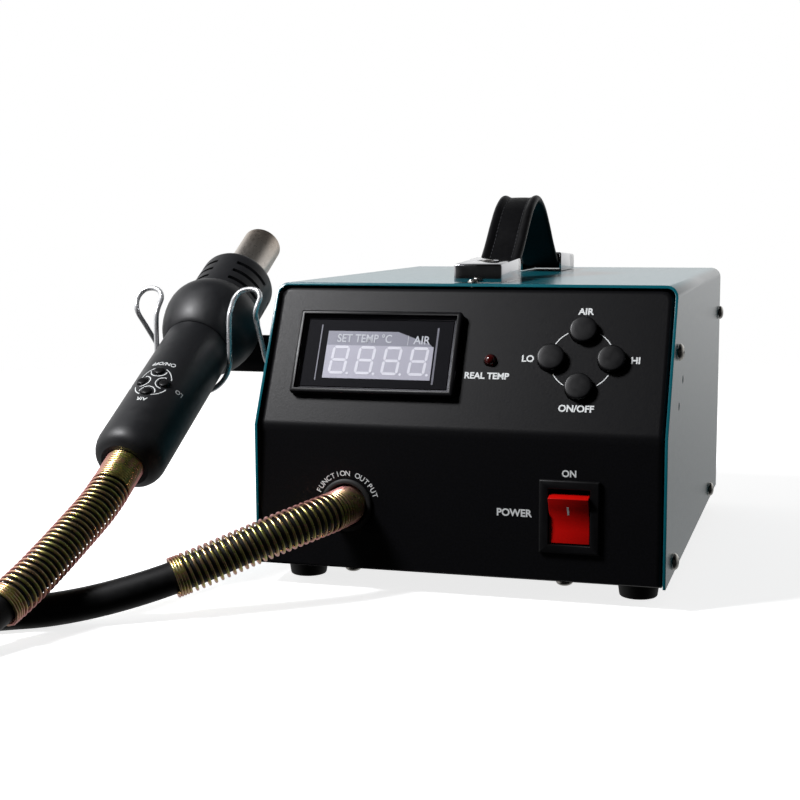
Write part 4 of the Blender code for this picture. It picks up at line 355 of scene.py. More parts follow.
# Lumps are (size in millimetres, detail, roughness, stretch). Mottle is what mixes the two tones: lumps, then
# the part of their range that counts. Rough is a number, or lumps, the part that counts and what it becomes.
# Bump is lumps, strength and depth in millimetres. Levels are other sockets of the shader.
FINISHES = {
    # Smooth semi-gloss powder coat: fine orange peel breaks up the reflections.
    "teal powder coat": dict(
        tones=("cover_colour", 0.97, 1.03), mottle=((30,), 0.35, 0.65), rough=((3,), 0.3, 0.7, 0.2, 0.225),
        bump=((0.8, 2), 0.05, 0.02),
    ),
    # Wrinkle paint on sheet steel: small dark lumps that sparkle a little.
    "black textured paint": dict(
        tones=("panel_colour", 0.75, 1.7), mottle=((0.9, 4, 0.65), 0.4, 0.62),
        rough=((0.9, 4, 0.65), 0.35, 0.65, 0.44, 0.34), bump=((0.9, 4, 0.65), 0.35, 0.1),
        levels={"Specular IOR Level": 0.185},
    ),
    # Satin injection moulding, as on the bezel, the buttons and the switch frame: an even, low gloss.
    "satin black plastic": dict(
        tones=("0a0a0b", "101012"), mottle=((8,),), rough=((3,), 0.3, 0.7, 0.34, 0.42),
        bump=((0.25, 2), 0.12, 0.02), levels={"Specular IOR Level": 0.25},
    ),
    # Spark-eroded charcoal moulding of the handpiece: matt, with a soft broad highlight.
    "matt charcoal plastic": dict(
        tones=("grip_colour", 0.86, 1.12), mottle=((0.5, 4, 0.7), 0.3, 0.7),
        rough=((5,), 0.3, 0.7, 0.44, 0.52), bump=((0.28, 3), 0.35, 0.03),
    ),
    # Silicone hose: dull black with faint smears of dust.
    "black hose rubber": dict(
        tones=("070708", "0f0f10"), mottle=((14, 5), 0.4, 0.75), rough=((6,), 0.3, 0.7, 0.42, 0.58),
        bump=((0.6, 3), 0.2, 0.03), levels={"Specular IOR Level": 0.3},
    ),
    # Moulded rubber of the feet and the outlet grommet: matt, slightly dusty on its high spots.
    "moulded rubber": dict(
        tones=("090909", "121212"), mottle=((4, 5),), rough=0.62, bump=((0.4, 3), 0.3, 0.04),
    ),
    # Yellow passivated spring steel: a bright film in green gold patches, with painted sheen: rose down the
    # coil's sides, where the turns face away from one fixed direction.
    "yellow passivated zinc": dict(
        tones=film_with_painted_sheen, rough=((4, 3), 0.3, 0.7, 0.26, 0.32), bump=((0.5, 2), 0.04, 0.02),
        levels={"Metallic": 1.0},
    ),
    # Bright chrome plate of the strap clamps, with the faintest haze.
    "chrome plate": dict(
        tones="bbbcbf", rough=((6, 4), 0.35, 0.7, 0.06, 0.16), bump=((2.5, 2), 0.05, 0.02),
        levels={"Metallic": 1.0},
    ),
    # Plated spring wire: one broad soft streak down each side instead of a mirror's sharp one.
    "bright plated wire": dict(
        tones="f2f3f5", rough=((4, 3), 0.35, 0.7, 0.24, 0.32), bump=((1.5, 2), 0.05, 0.02),
        levels={"Metallic": 0.72},
    ),
    # Nickel plated screws: warm grey metal with duller spots.
    "nickel plated screws": dict(
        tones=("a9a6a0", "c9c6c0"), mottle=((1.5, 3),), rough=((0.8, 4), 0.3, 0.7, 0.2, 0.36),
        levels={"Metallic": 1.0},
    ),
    # Stainless pipe that heat has turned straw brown towards its mouth, brushed round its length.
    "heat tinted stainless": dict(
        tones=heat_tint, rough=((1.2, 5), 0.3, 0.7, 0.26, 0.4), bump=(brushed_rings, 0.25, 0.02),
        levels={"Metallic": 1.0},
    ),
    # Glossy polycarbonate of the rocker: saturated, a little light inside it, with a clean highlight.
    "red rocker plastic": dict(
        tones=("rocker_colour", 0.93, 1.05), mottle=((5,),), rough=0.24, bump=((2.5, 2), 0.04, 0.02),
        levels={"Subsurface Weight": 0.08, "Subsurface Radius": (0.002, 0.0006, 0.0004)},
    ),
    # Diffused lamp lens, unlit: dark red body under a clear skin.
    "red lamp lens": dict(
        tones=("2c0606", "440a0a"), mottle=((1.5,),), rough=0.12, levels={"Coat Weight": 0.6},
    ),
    # Smoked acrylic: dark and glossy, and clear enough to show the display.
    "smoked acrylic": smoked_acrylic,
    # Unlit display tile: grey violet with a slightly uneven tone.
    "display tile": dict(tones=("c1c0c7", "c7c6cd"), mottle=((25, 2),), rough=0.4),
    # Strip of the display tile behind its printed words, a shade darker than the tile.
    "display band": dict(tones=("919299", "999aa2"), mottle=((20, 2),), rough=0.4),
    # Painted highlight: light grey strips where the clear frame's cut edges behind the window catch the light.
    "clear frame edges": dict(tones=("6c6c72", "8a8a90"), mottle=((6, 3),), rough=0.35),
    # Diffusing segments of the unlit display: paler than the tile round them.
    "display segments": dict(tones=("fafafc", "ffffff"), mottle=((6, 2),), rough=0.5),
    # Black mask sheet behind the window, round the display tile: it all but swallows light.
    "display mask": dict(
        tones=("09090b", "0d0d10"), mottle=((7, 3),), rough=0.5, levels={"Specular IOR Level": 0.06},
    ),
    # Screen print ink: off-white, with small thin spots where the paint's texture shows.
    "white print ink": dict(tones=("print_colour", 0.84, 1.0), mottle=((0.6, 4), 0.28, 0.45), rough=0.55),
    # Grained black vinyl of the carrying strap: pebbled, with a waxy sheen.
    "grained vinyl": dict(
        tones=("070708", "0d0d0f"), mottle=((10, 3),), rough=((2, 3), 0.3, 0.7, 0.36, 0.5),
        bump=(pebbles, 0.3, 0.1), levels={"Specular IOR Level": 0.14},
    ),
    # Waxed black thread of the strap's seams, a little greyer than the vinyl.
    "waxed thread": dict(tones=("16171a", "26272b"), mottle=((0.5, 3),), rough=0.6),
    # Glass epoxy circuit board under solder mask: two greens, where copper lies below and where it doesn't.
    "green circuit board": dict(tones=("12502b", "1c6b3a"), mottle=((3, 5), 0.45, 0.55), rough=0.35),
    # Cast aluminium of the pump: pale, dull and slightly porous.
    "cast aluminium": dict(
        tones=("9b9c9e", "b9babb"), mottle=((2, 5),), rough=0.5, bump=((0.7, 4), 0.4, 0.08),
        levels={"Metallic": 0.9},
    ),
    # Laminated iron with enamelled copper: brown metal with fine layers.
    "laminated iron": dict(
        tones=("4b4642", "7a5e49"), mottle=((1.2, 3, 0.5, (0.1, 1, 1)),), rough=0.45,
        levels={"Metallic": 0.7},
    ),
    # Mica cross that carries the heater wire: silvery tan flakes.
    "mica sheet": dict(tones=("9d8c72", "c9bda6"), mottle=((1.8, 5),), rough=0.4),
    # Milky silicone of the air pipe between the pump and the hose.
    "milky silicone": dict(tones=("c8c4bb", "dad7cf"), mottle=((5, 3),), rough=0.4),
    # Pale studio paper of the floor.
    "studio paper": studio_paper,
}


# Meshes

def add_object(name, data):
    made = bpy.data.objects.new(name, data)
    bpy.context.scene.collection.objects.link(made)
    return made


def mesh_of(name, bm):
    """The shape as a mesh with its faces pointing outwards."""
    bmesh.ops.recalc_face_normals(bm, faces=bm.faces)
    mesh = bpy.data.meshes.new(name)
    bm.to_mesh(mesh)
    bm.free()
    return mesh


def add_piece(name, shape, finish, body="station", smooth_angle=40):
    """A mesh, or a shape made one, as an object at the origin that rides on a body."""
    mesh = mesh_of(name, shape) if isinstance(shape, bmesh.types.BMesh) else shape
    mesh.name = name
    mesh.shade_smooth()
    mesh.set_sharp_from_angle(angle=math.radians(smooth_angle))
    mesh.materials.clear()
    mesh.materials.append(material(finish))
    made = add_object(name, mesh)
    if body:
        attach(made, body)
    return made


def stand_in(name, shape, finish, body="station", smooth_angle=40):
    """A piece in place of one CAD node."""
    made = add_piece(f"{name}_finished", shape, finish, body, smooth_angle)
    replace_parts(made, name)
    return made


def dress(finish, *names):
    """Gives CAD nodes a finish and leaves their shapes."""
    for name in names:
        slots = bpy.data.objects[name].data.materials
        if not slots:
            slots.append(None)
        for i in range(len(slots)):
            slots[i] = material(finish)


def applied(source):
    """What an object's modifiers make, as a plain mesh, and the object gone."""
    depsgraph = bpy.context.evaluated_depsgraph_get()
    mesh = bpy.data.meshes.new_from_object(source.evaluated_get(depsgraph), depsgraph=depsgraph)
    bpy.data.objects.remove(source, do_unlink=True)
    return mesh


def cut(shape, cutter):
    """A shape with another one taken out of it, as a mesh."""
    target, tool = (add_object("shape", mesh_of("shape", bm)) for bm in (shape, cutter))
    step = target.modifiers.new("cut", "BOOLEAN")
    step.operation = "DIFFERENCE"
    step.object = tool
    step.solver = "EXACT"
    step.use_self = True
    mesh = applied(target)
    bpy.data.objects.remove(tool, do_unlink=True)
    return mesh


def arc(centre, radius, start, end, steps):
    """Points on a circle between two angles in degrees, ends included."""
    angles = [math.radians(start + (end - start) * i / steps) for i in range(steps + 1)]
    return [(centre[0] + radius * math.cos(a), centre[1] + radius * math.sin(a)) for a in angles]


def band(centre, radius, width, start, end, steps):
    """Outline of a line that follows a circle."""
    half = width / 2
    return arc(centre, radius + half, start, end, steps) + arc(centre, radius - half, end, start, steps)


def circle(radius, steps):
    return arc((0, 0), radius, 0, 360, steps)[:-1]


def rounded_rectangle(x0, y0, x1, y1, radius, steps=4):
    corners = ((x1 - radius, y1 - radius, 0), (x0 + radius, y1 - radius, 90),
               (x0 + radius, y0 + radius, 180), (x1 - radius, y0 + radius, 270))
    return [point for x, y, start in corners for point in arc((x, y), radius, start, start + 90, steps)]


def lathe(profile, matrix, steps=64, bm=None):
    """A profile of (radius, height) millimetres turned about the Z axis of a place.

    It starts and ends on the axis, or is a closed loop off it.
    """
    bm = bm or bmesh.new()
    rings = []
    for radius, height in profile:
        ring = circle(radius * MM, steps) if radius else [(0, 0)]
        rings.append([bm.verts.new(matrix @ Vector((a, b, height * MM))) for a, b in ring])
    pairs = list(zip(rings, rings[1:]))
    if len(rings[0]) > 1:
        pairs.append((rings[-1], rings[0]))
    for first, second in pairs:
        for i in range(steps):
            j = (i + 1) % steps
            corners = dict.fromkeys(ring[k % len(ring)] for ring, k in (
                (first, i), (first, j), (second, j), (second, i),
            ))
            if len(corners) > 2:
                bm.faces.new(list(corners))
    return bm


def skin(rings, bm=None):
    """A closed shape through rings of points, with a face over both ends."""
    bm = bm or bmesh.new()
    rows = [[bm.verts.new(point) for point in ring] for ring in rings]
    count = len(rows[0])
    for first, second in zip(rows, rows[1:]):
        for i in range(count):
            j = (i + 1) % count
            bm.faces.new((first[i], first[j], second[j], second[i]))
    bm.faces.new(rows[0])
    bm.faces.new(rows[-1])
    return bm


def prism(outline, low, high, matrix, bm=None):
    """An outline of (across, up) millimetres in a place's plane, from one height to another."""
    return skin([[matrix @ Vector((a * MM, b * MM, z * MM)) for a, b in outline] for z in (low, high)], bm)


def smooth_route(points, step):
    """Points a step apart on a smooth curve through the given ones."""
    padded = [2 * points[0] - points[1], *points, 2 * points[-1] - points[-2]]
    dense = []
    for a, b, c, d in zip(padded, padded[1:], padded[2:], padded[3:]):
        for i in range(24):
            t = i / 24
            dense.append(0.5 * (2 * b + (c - a) * t + (2 * a - 5 * b + 4 * c - d) * t ** 2
                                + (3 * b - a - 3 * c + d) * t ** 3))
    return even_points(dense + [points[-1]], step)


def route_length(route):
    return sum((b - a).length for a, b in zip(route, route[1:]))


def even_points(route, step):
    """The route cut into equal steps of about the given length."""
    total = route_length(route)
    count = max(2, round(total / step))
    made = [route[0].copy()]
    walked = 0.0
    wanted = total / count
    for a, b in zip(route, route[1:]):
        span = (b - a).length
        while walked + span >= wanted - 1e-12 and len(made) < count:
            made.append(a.lerp(b, (wanted - walked) / span))
            wanted += total / count
        walked += span
    return made + [route[-1].copy()]


def part_of_route(route, start, end, step):
    """The piece of a route between two distances along it."""
    made = []
    walked = 0.0
    for a, b in zip(route, route[1:]):
        span = (b - a).length
        if not made and walked + span >= start:
            made.append(a.lerp(b, (start - walked) / span))
        if made and walked > start:
            made.append(a.copy())
        if walked + span >= end:
            made.append(a.lerp(b, (end - walked) / span))
            break
        walked += span
    return even_points(made, step)


def headings(route):
    """Each point of a route with its direction."""
    for i, point in enumerate(route):
        yield point, (route[min(i + 1, len(route) - 1)] - route[max(i - 1, 0)]).normalized()


def tube(route, radius, sides):
    """A round rod along a route, without twist, with both ends closed."""
    rings = []
    across = None
    for point, ahead in headings(route):
        if across is None:
            across = ahead.cross(Vector((0, 0, 1)) if abs(ahead.z) < 0.9 else Vector((1, 0, 0))).normalized()
        across = (across - ahead * across.dot(ahead)).normalized()
        up = ahead.cross(across)
        rings.append([point + across * a + up * b for a, b in circle(radius, sides)])
    return skin(rings)


def softened(name, finish, radius, body="station", segments=2, angle=30):
    """The CAD solid with its facets merged and its sharp edges rounded, in place of the node."""
    bm = bmesh.new()
    bm.from_mesh(bpy.data.objects[name].data)
    bmesh.ops.remove_doubles(bm, verts=bm.verts, dist=2e-6)
    bmesh.ops.dissolve_limit(bm, angle_limit=math.radians(0.5), verts=bm.verts, edges=bm.edges)
    sharp = [e for e in bm.edges if len(e.link_faces) == 2 and e.calc_face_angle(0) > math.radians(angle)]
    if radius > 0:
        bmesh.ops.bevel(
            bm, geom=sharp, offset=radius, segments=segments, profile=0.5, affect="EDGES", clamp_overlap=True,
        )
    level_wide_faces(stand_in(name, bm, finish, body, 35).data)


def level_wide_faces(mesh):
    """Lights wide flat sheets evenly: every corner on one takes the sheet's own direction."""
    sheets = [face.normal.copy() for face in mesh.polygons if face.area > 0.002]
    wide = {}
    for face in mesh.polygons:
        if face.area > 0 and any(n.dot(face.normal) > 0.999995 for n in sheets):
            for i in face.vertices:
                wide.setdefault(i, []).append(face.normal.copy())
    normals = [corner.vector.copy() for corner in mesh.corner_normals]
    for face in mesh.polygons:
        for corner, i in zip(face.loop_indices, face.vertices):
            near = [n for n in wide.get(i, ()) if n.angle(face.normal) < math.radians(50)]
            if near:
                normals[corner] = min(near, key=lambda n: n.angle(face.normal))
    mesh.normals_split_custom_set(normals)


# Geometry Nodes

def group(name, **sockets):
    """A geometry group with named inputs, each a kind of socket, or a kind and its default."""
    tree = bpy.data.node_groups.new(name, "GeometryNodeTree")
    for way in ("INPUT", "OUTPUT"):
        tree.interface.new_socket("Geometry", in_out=way, socket_type="NodeSocketGeometry")
    for label, (kind, *default) in sockets.items():
        made = tree.interface.new_socket(label, in_out="INPUT", socket_type=f"NodeSocket{kind}")
        if default:
            made.default_value = default[0]
    given = node(tree, "NodeGroupInput")
    return tree, {socket.name: socket for socket in given.outputs}


def finish_group(tree, shape, value):
    """Ends a group: its shape in the material that the group is given."""
    painted = node(tree, "GeometryNodeSetMaterial", {"Geometry": shape, "Material": value["Material"]})
    node(tree, "NodeGroupOutput", {0: painted})


def spring_group():
    """Winds a wire about a path: close turns at both ends and open turns between them."""
    tree, value = group(
        "coil spring", **{
            "Coil Radius": ("Float", 0.008), "Wire Radius": ("Float", 0.0006), "Pitch": ("Float", 0.003),
            "Closed Start": ("Float", 0.016), "Closed End": ("Float", 0.005), "Length": ("Float", 0.09),
            "Step": ("Float", 0.0001), "Sides": ("Int", 8), "Material": ("Material",),
        },
    )
    path = node(tree, "GeometryNodeMeshToCurve", {"Mesh": value["Geometry"]})
    fine = node(tree, "GeometryNodeResampleCurve", {"Curve": path, "Length": value["Step"]}, mode="LENGTH")
    value["walked"] = node(tree, "GeometryNodeSplineParameter").outputs["Length"]
    for made, operation, first, second in (
        ("close pitch", "MULTIPLY", "Wire Radius", 2.02),
        ("wound", "SUBTRACT", "Length", "Closed End"),
        ("opened", "SUBTRACT", "wound", "Closed Start"),
        ("in start", "MINIMUM", "walked", "Closed Start"),
        ("past start", "SUBTRACT", "walked", "Closed Start"),
        ("after start", "MAXIMUM", "past start", 0.0),
        ("in middle", "MINIMUM", "after start", "opened"),
        ("past middle", "SUBTRACT", "after start", "opened"),
        ("in end", "MAXIMUM", "past middle", 0.0),
        ("in both ends", "ADD", "in start", "in end"),
        ("close turns", "DIVIDE", "in both ends", "close pitch"),
        ("open turns", "DIVIDE", "in middle", "Pitch"),
        ("turns", "ADD", "close turns", "open turns"),
        ("angle", "MULTIPLY", "turns", math.tau),
        ("cosine", "COSINE", "angle", 0.0),
        ("sine", "SINE", "angle", 0.0),
    ):
        inputs = {0: value[first], 1: value.get(second, second)}
        value[made] = node(tree, "ShaderNodeMath", inputs, operation=operation)
    across = node(tree, "GeometryNodeInputNormal").outputs["Normal"]
    ahead = node(tree, "GeometryNodeInputTangent")
    up = node(tree, "ShaderNodeVectorMath", {0: ahead, 1: across}, operation="CROSS_PRODUCT")
    side, rise = (
        node(tree, "ShaderNodeVectorMath", {0: way, "Scale": value[part]}, operation="SCALE")
        for way, part in ((across, "cosine"), (up, "sine"))
    )
    outward = node(tree, "ShaderNodeVectorMath", {0: side, 1: rise}, operation="ADD")
    offset = node(tree, "ShaderNodeVectorMath", {
        0: outward, "Scale": value["Coil Radius"],
    }, operation="SCALE")
    kept = node(tree, "GeometryNodeStoreNamedAttribute", {
        "Geometry": fine, "Name": "outward", "Value": outward,
    }, data_type="FLOAT_VECTOR", domain="POINT")
    wound = node(tree, "GeometryNodeSetPosition", {"Geometry": kept, "Offset": offset})
    ring = node(tree, "GeometryNodeCurvePrimitiveCircle", {
        "Resolution": value["Sides"], "Radius": value["Wire Radius"],
    })
    wire = node(tree, "GeometryNodeCurveToMesh", {"Curve": wound, "Profile Curve": ring, "Fill Caps": True})
    finish_group(tree, wire, value)
    return tree


def scatter_group():
    """Puts one shape on every point, turned and sized as the point's attributes say."""
    tree, value = group("repeated pieces", Piece=("Object",), Material=("Material",))
    turned, sized = (
        node(tree, "GeometryNodeInputNamedAttribute", {"Name": name}, data_type="FLOAT_VECTOR")
        for name in ("turn", "sized")
    )
    shape = node(tree, "GeometryNodeObjectInfo", {"Object": value["Piece"]}, transform_space="ORIGINAL")
    placed = node(tree, "GeometryNodeInstanceOnPoints", {
        "Points": value["Geometry"], "Instance": shape.outputs["Geometry"], "Rotation": turned,
        "Scale": sized,
    })
    finish_group(tree, node(tree, "GeometryNodeRealizeInstances", {"Geometry": placed}), value)
    return tree


def grown(name, points, edges, make_group, values, attributes=()):
    """What a group makes of points and edges, as a mesh."""
    start = bpy.data.meshes.new(name)
    start.from_pydata(points, edges, [])
    for label, vectors in attributes:
        stored = start.attributes.new(label, "FLOAT_VECTOR", "POINT")
        for i, vector in enumerate(vectors):
            stored.data[i].vector = vector
    carrier = add_object(name, start)
    tree = make_group()
    step = carrier.modifiers.new(tree.name, "NODES")
    step.node_group = tree
    for item in tree.interface.items_tree:
        if item.item_type == "SOCKET" and item.in_out == "INPUT" and item.name in values:
            step[item.identifier] = values[item.name]
    return applied(carrier)


def scattered(name, shape, places, finish):
    """Copies of a shape at (point, rotation, size) places, as one piece."""
    piece = add_object(f"{name}_shape", shape)
    points, turns, sizes = zip(*places)
    mesh = grown(f"{name}_places", points, [], scatter_group, {"Piece": piece, "Material": material(finish)},
                 (("turn", turns), ("sized", sizes)))
    bpy.data.objects.remove(piece, do_unlink=True)
    return add_piece(name, mesh, finish)


# Hose

def outlet_points():
    return [station(*point) for point in (
        (-47.8, 10, 38), (-47.8, 4, 38), (-47.8, -1, 38), (-49.6, -10, 37.4), (-56, -20.5, 35.2),
        (-66, -31, 31.4), (-78, -40.5, 26.4), (-91, -50, 20.8), (-104, -59.5, 15.8), (-118, -69, 11.6),
        (-131.5, -77.5, 8.6), *((x, y, HOSE_LIES_AT) for x, y in (
            (-145, -86), (-158, -94.7), (-172, -104), (-185, -112), (-198, -118), (-207.2, -122.1),
            (-216.2, -126.1),
        )),
    )]


def handpiece_points():
    inside = [handpiece_place() @ Vector((0, 0, along * MM)) for along in (24, 10, -4, -16)]
    return inside + [station(*point) for point in (
        (-138.6, -55, 42.6), (-140.4, -69, 35.6), (-142.6, -84, 28.2), (-145.2, -99, 21),
        (-148.6, -114, 14.6), (-152.2, -129, 9.6), (-154.8, -143, HOSE_LIES_AT),
        (-156.8, -154, HOSE_LIES_AT + 1.4), (-158, -164, HOSE_LIES_AT + 4.4),
    )]


def coil_points():
    """One turn on the surface and most of a second one lying on it."""
    low = HOSE_LIES_AT
    high = low + 13.5
    points = []
    for degrees in range(114, 721, 6):
        rise = min(1.0, max(0.0, (degrees - 396) / 78))
        rise = rise * rise * (3 - 2 * rise)
        angle = math.radians(degrees)
        x, y = -228 + 70 * math.cos(angle), -208 + 70 * math.sin(angle)
        points.append(station(x, y, low + (high - low) * rise))
    return points + [station(-158, y, high - down) for y, down in ((-196, 0.2), (-184, 1.4), (-174, 4.4))]


def hose_lines():
    """Middle lines of the hose: from the outlet round the coil, and from there up to the handpiece."""
    step = 4 * MM
    first = smooth_route(outlet_points(), step)[:-1] + smooth_route(coil_points(), step)
    return even_points(first, step), smooth_route([coil_points()[-1]] + handpiece_points()[::-1], step)


def bend_with_handpiece(piece):
    """Bakes a piece's place into its mesh; nothing bends it with the handpiece."""
    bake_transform(piece)


class STATION_OT_hose(bpy.types.Operator):
    """Builds the hose from the panel, round its coil and up to the handpiece"""

    bl_idname = "station.hose"
    bl_label = "Hose"

    def execute(self, context):
        radius = context.scene.station_settings.hose_diameter / 2
        first, second = hose_lines()
        run = add_piece("hose", tube(first, radius, 24), "black hose rubber")
        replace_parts(run, "hose_outlet_run", "hose_coil")
        rise = add_piece("hose_to_handpiece", tube(second, radius, 24), "black hose rubber", None)
        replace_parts(rise, "hose_handpiece_run")
        bend_with_handpiece(rise)
        return {"FINISHED"}


class STATION_OT_springs(bpy.types.Operator):
    """Winds the coil springs that keep the hose from kinking"""

    bl_idname = "station.springs"
    bl_label = "Coil Springs"

    def execute(self, context):
        settings = context.scene.station_settings
        first, second = hose_lines()
        step = 1.5 * MM
        for name, points, start, length, closed, body, piece, line, leaves, lay in (
            ("outlet_spring", outlet_points(), 6, 90, 16, "station",
             "hose", first, station(OUTLET[0], -1, OUTLET[1]), "coiled"),
            ("handpiece_spring", handpiece_points(), 12, 106, 26, None,
             "hose_to_handpiece", second, second[0], "loose"),
        ):
            path = part_of_route(smooth_route(points, step), start * MM, start * MM + length * MM, step)
            wire = grown(f"{name}_path", path, [(i, i + 1) for i in range(len(path) - 1)], spring_group, {
                "Coil Radius": (settings.spring_diameter - settings.spring_wire) / 2,
                "Wire Radius": settings.spring_wire / 2, "Pitch": settings.spring_pitch,
                "Closed Start": closed * MM, "Closed End": 5 * MM, "Length": length * MM,
                "Step": settings.spring_wire * 1.01 / settings.coil_turn_steps, "Sides": 10,
                "Material": material("yellow passivated zinc"),
            })
            spring = add_piece(f"{name}_wire", wire, "yellow passivated zinc", body, 60)
            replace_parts(spring, name)
            if not body:
                bend_with_handpiece(spring)
            tuple(leaves)
            route_length(line)
            [tuple(p) for p in line]
        return {"FINISHED"}


# Stage

class STATION_OT_stage(bpy.types.Operator):
    """Sets the camera, the pale floor, the white surroundings and the soft light"""

    bl_idname = "station.stage"
    bl_label = "Stage"

    def execute(self, context):
        scene = context.scene
        scene.view_settings.view_transform = "Standard"
        self.camera(scene)
        self.surroundings(scene)
        bm = bmesh.new()
        bmesh.ops.create_grid(bm, x_segments=1, y_segments=1, size=3.0)
        add_piece("floor", bm, "studio paper", None)
        lamp = bpy.data.lights.new("key", "AREA")
        lamp.shape = "SQUARE"
        lamp.size = 0.24
        lamp.energy = 16
        lamp.color = (0.98, 0.98, 1.0)
        light = add_object("key", lamp)
        light.location = (-0.59, -0.55, 0.87)
        aim = Vector((0, -0.08, 0.09)) - light.location
        light.rotation_euler = aim.to_track_quat("-Z", "Y").to_euler()
        return {"FINISHED"}

    @staticmethod
    def camera(scene):
        """The photograph's viewpoint, fitted to the cabinet's edges."""
        lens = bpy.data.cameras.new("camera")
        lens.lens = 65.096
        lens.sensor_width = 36
        lens.dof.use_dof = False
        camera = add_object("camera", lens)
        yaw, pitch, roll = (math.radians(a) for a in (16.968, 7.214, -0.294))
        ahead = Vector((-math.sin(yaw) * math.cos(pitch), math.cos(yaw) * math.cos(pitch), -math.sin(pitch)))
        right = Vector((math.cos(yaw), math.sin(yaw), 0))
        up = right.cross(ahead)
        across = math.cos(roll) * right + math.sin(roll) * up
        above = -math.sin(roll) * right + math.cos(roll) * up
        turned = Matrix((across, above, -ahead)).transposed().to_4x4()
        camera.matrix_world = Matrix.Translation((0.194086, -0.689501, 0.162123)) @ turned
        scene.camera = camera

    @staticmethod
    def surroundings(scene):
        """White to the camera; to the object, brighter behind and at the left, dimmer in front and above."""
        world = bpy.data.worlds.new("white surroundings")
        world.use_nodes = True
        tree = world.node_tree
        tree.nodes.clear()
        way = node(tree, "ShaderNodeTexCoord").outputs["Generated"]
        aim = node(tree, "ShaderNodeSeparateXYZ", {"Vector": way})
        value = {}
        for name, axis, low, high, at_low, at_high in (
            ("behind", "Y", -0.25, 0.45, 0.02, 1.0), ("below", "Z", -0.2, 0.1, 0.42, 1.0),
            ("above", "Z", 0.3, 0.75, 1.0, 0.07), ("right", "X", 0.45, 0.9, 1.0, 0.35),
            ("left", "X", -0.9, -0.5, 0.9, 0.0),
        ):
            value[name] = pattern(
                tree, aim.outputs[axis], low, high, at_low, at_high, interpolation_type="SMOOTHSTEP",
            )
        seen = node(tree, "ShaderNodeLightPath").outputs
        value.update({name: seen[name] for name in ("Is Camera Ray", "Is Transmission Ray")})
        for name, operation, first, second in (
            ("back", "MULTIPLY", "behind", "above"), ("back and right", "MULTIPLY", "back", "right"),
            ("sides", "MAXIMUM", "back and right", "left"), ("strength", "MULTIPLY", "sides", "below"),
            ("share", "MAXIMUM", "Is Camera Ray", "Is Transmission Ray"),
        ):
            inputs = {0: value[first], 1: value[second]}
            value[name] = node(tree, "ShaderNodeMath", inputs, operation=operation)
        soft, white = (
            node(tree, "ShaderNodeBackground", {"Color": (1, 1, 1, 1), "Strength": strength})
            for strength in (value["strength"], 1.0)
        )
        mixed = node(tree, "ShaderNodeMixShader", {0: value["share"], 1: soft, 2: white})
        node(tree, "ShaderNodeOutputWorld", {"Surface": mixed})
        scene.world = world


# Cabinet

class STATION_OT_cabinet(bpy.types.Operator):
    """Finishes the painted cover, the front panel, the chassis, the feet and the screws"""

    bl_idname = "station.cabinet"
    bl_label = "Cabinet"

    def execute(self, context):
        radius = context.scene.station_settings.edge_radius
        softened("cover", "teal powder coat", radius)
        for name, share in (("front_panel", 1), ("chassis", 0.6), ("holder_bracket", 1)):
            softened(name, "black textured paint", radius * share)
        self.feet()
        self.screws()
        return {"FINISHED"}

    @staticmethod
    def feet():
        """Turned rubber feet with a worn lower rim and a recess for the screw."""
        profile = [(0, 6), (3.2, 6), (3.2, 0.4), (3.6, 0), (7.2, 0)] + arc((7.2, 1.0), 1.0, -80, -10, 4)
        profile += [(8.35, 1.8), (9.35, 9.3), (9.5, 10.2), (9.45, 11.2), (0, 11.2)]
        names = ("foot_front_left", "foot_front_right", "foot_rear_left", "foot_rear_right")
        places = []
        for low, high in (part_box(name) for name in names):
            places.append(((low[0] / 2 + high[0] / 2, low[1] / 2 + high[1] / 2, 0), (0, 0, 0), (1, 1, 1)))
        shape = mesh_of("foot_shape", lathe(profile, Matrix.Identity(4), 48))
        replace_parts(scattered("feet", shape, places, "moulded rubber"), *names)

    @staticmethod
    def screws():
        """Pan head screws with a cross recess, one shape for every screw of the cabinet."""
        head = 2.5
        pan = [(0, -6), (1.6, -6), (1.6, 0.3), (3.6, 0.3), (3.6, 0.9), (3.45, 1.3), (3.0, 1.8), (2.2, 2.25),
               (1.1, 2.45), (0, head)]
        cross = bmesh.new()
        for a, b in ((0.42, 1.75), (1.75, 0.42)):
            prism([(-a, -b), (a, -b), (a, b), (-a, b)], 1.3, 4, Matrix.Identity(4), cross)
        places = {}
        for name in (name for name in frame["nodes"] if "_screw" in name):
            low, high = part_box(name)
            at = [(a + b) / 2 for a, b in zip(low, high)]
            sized = (0.69, 0.69, 0.7) if name == "cover_screw_top" else (1, 1, 1)
            if name.startswith(("cover_screw_left", "holder_screw")):
                at[0], turned = low[0] + head * MM, (0, -math.pi / 2, 0)
            elif name.startswith("cover_screw_right"):
                at[0], turned = high[0] - head * MM, (0, math.pi / 2, 0)
            elif name.startswith("panel_screw"):
                at[2], turned = low[2] + head * MM, (math.pi, 0, 0)
            else:
                at[2], turned = high[2] - head * sized[2] * MM, (0, 0, 0.35 * len(places))
            places[name] = (at, turned, sized)
        shape = cut(lathe(pan, Matrix.Identity(4), 40), cross)
        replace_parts(scattered("screws", shape, places.values(), "nickel plated screws"), *places)


# Legends

def legend(text, height, place, weight=0.0, condense=1.0):
    """Text as a thin mesh in a place's plane, with its capitals of a given height."""
    thickness = bpy.context.scene.station_settings.legend_thickness
    curve = bpy.data.curves.new("legend", "FONT")
    curve.body = text
    curve.size = height / 0.729
    curve.align_x = curve.align_y = "CENTER"
    curve.resolution_u = 4
    curve.extrude = thickness / 2
    curve.offset = weight * height
    mesh = applied(add_object("legend", curve))
    lifted = Matrix.Translation((0, 0, thickness / 2 + 0.01 * MM))
    mesh.transform(place @ lifted @ Matrix.Diagonal((condense, 1, 1, 1)))
    return mesh


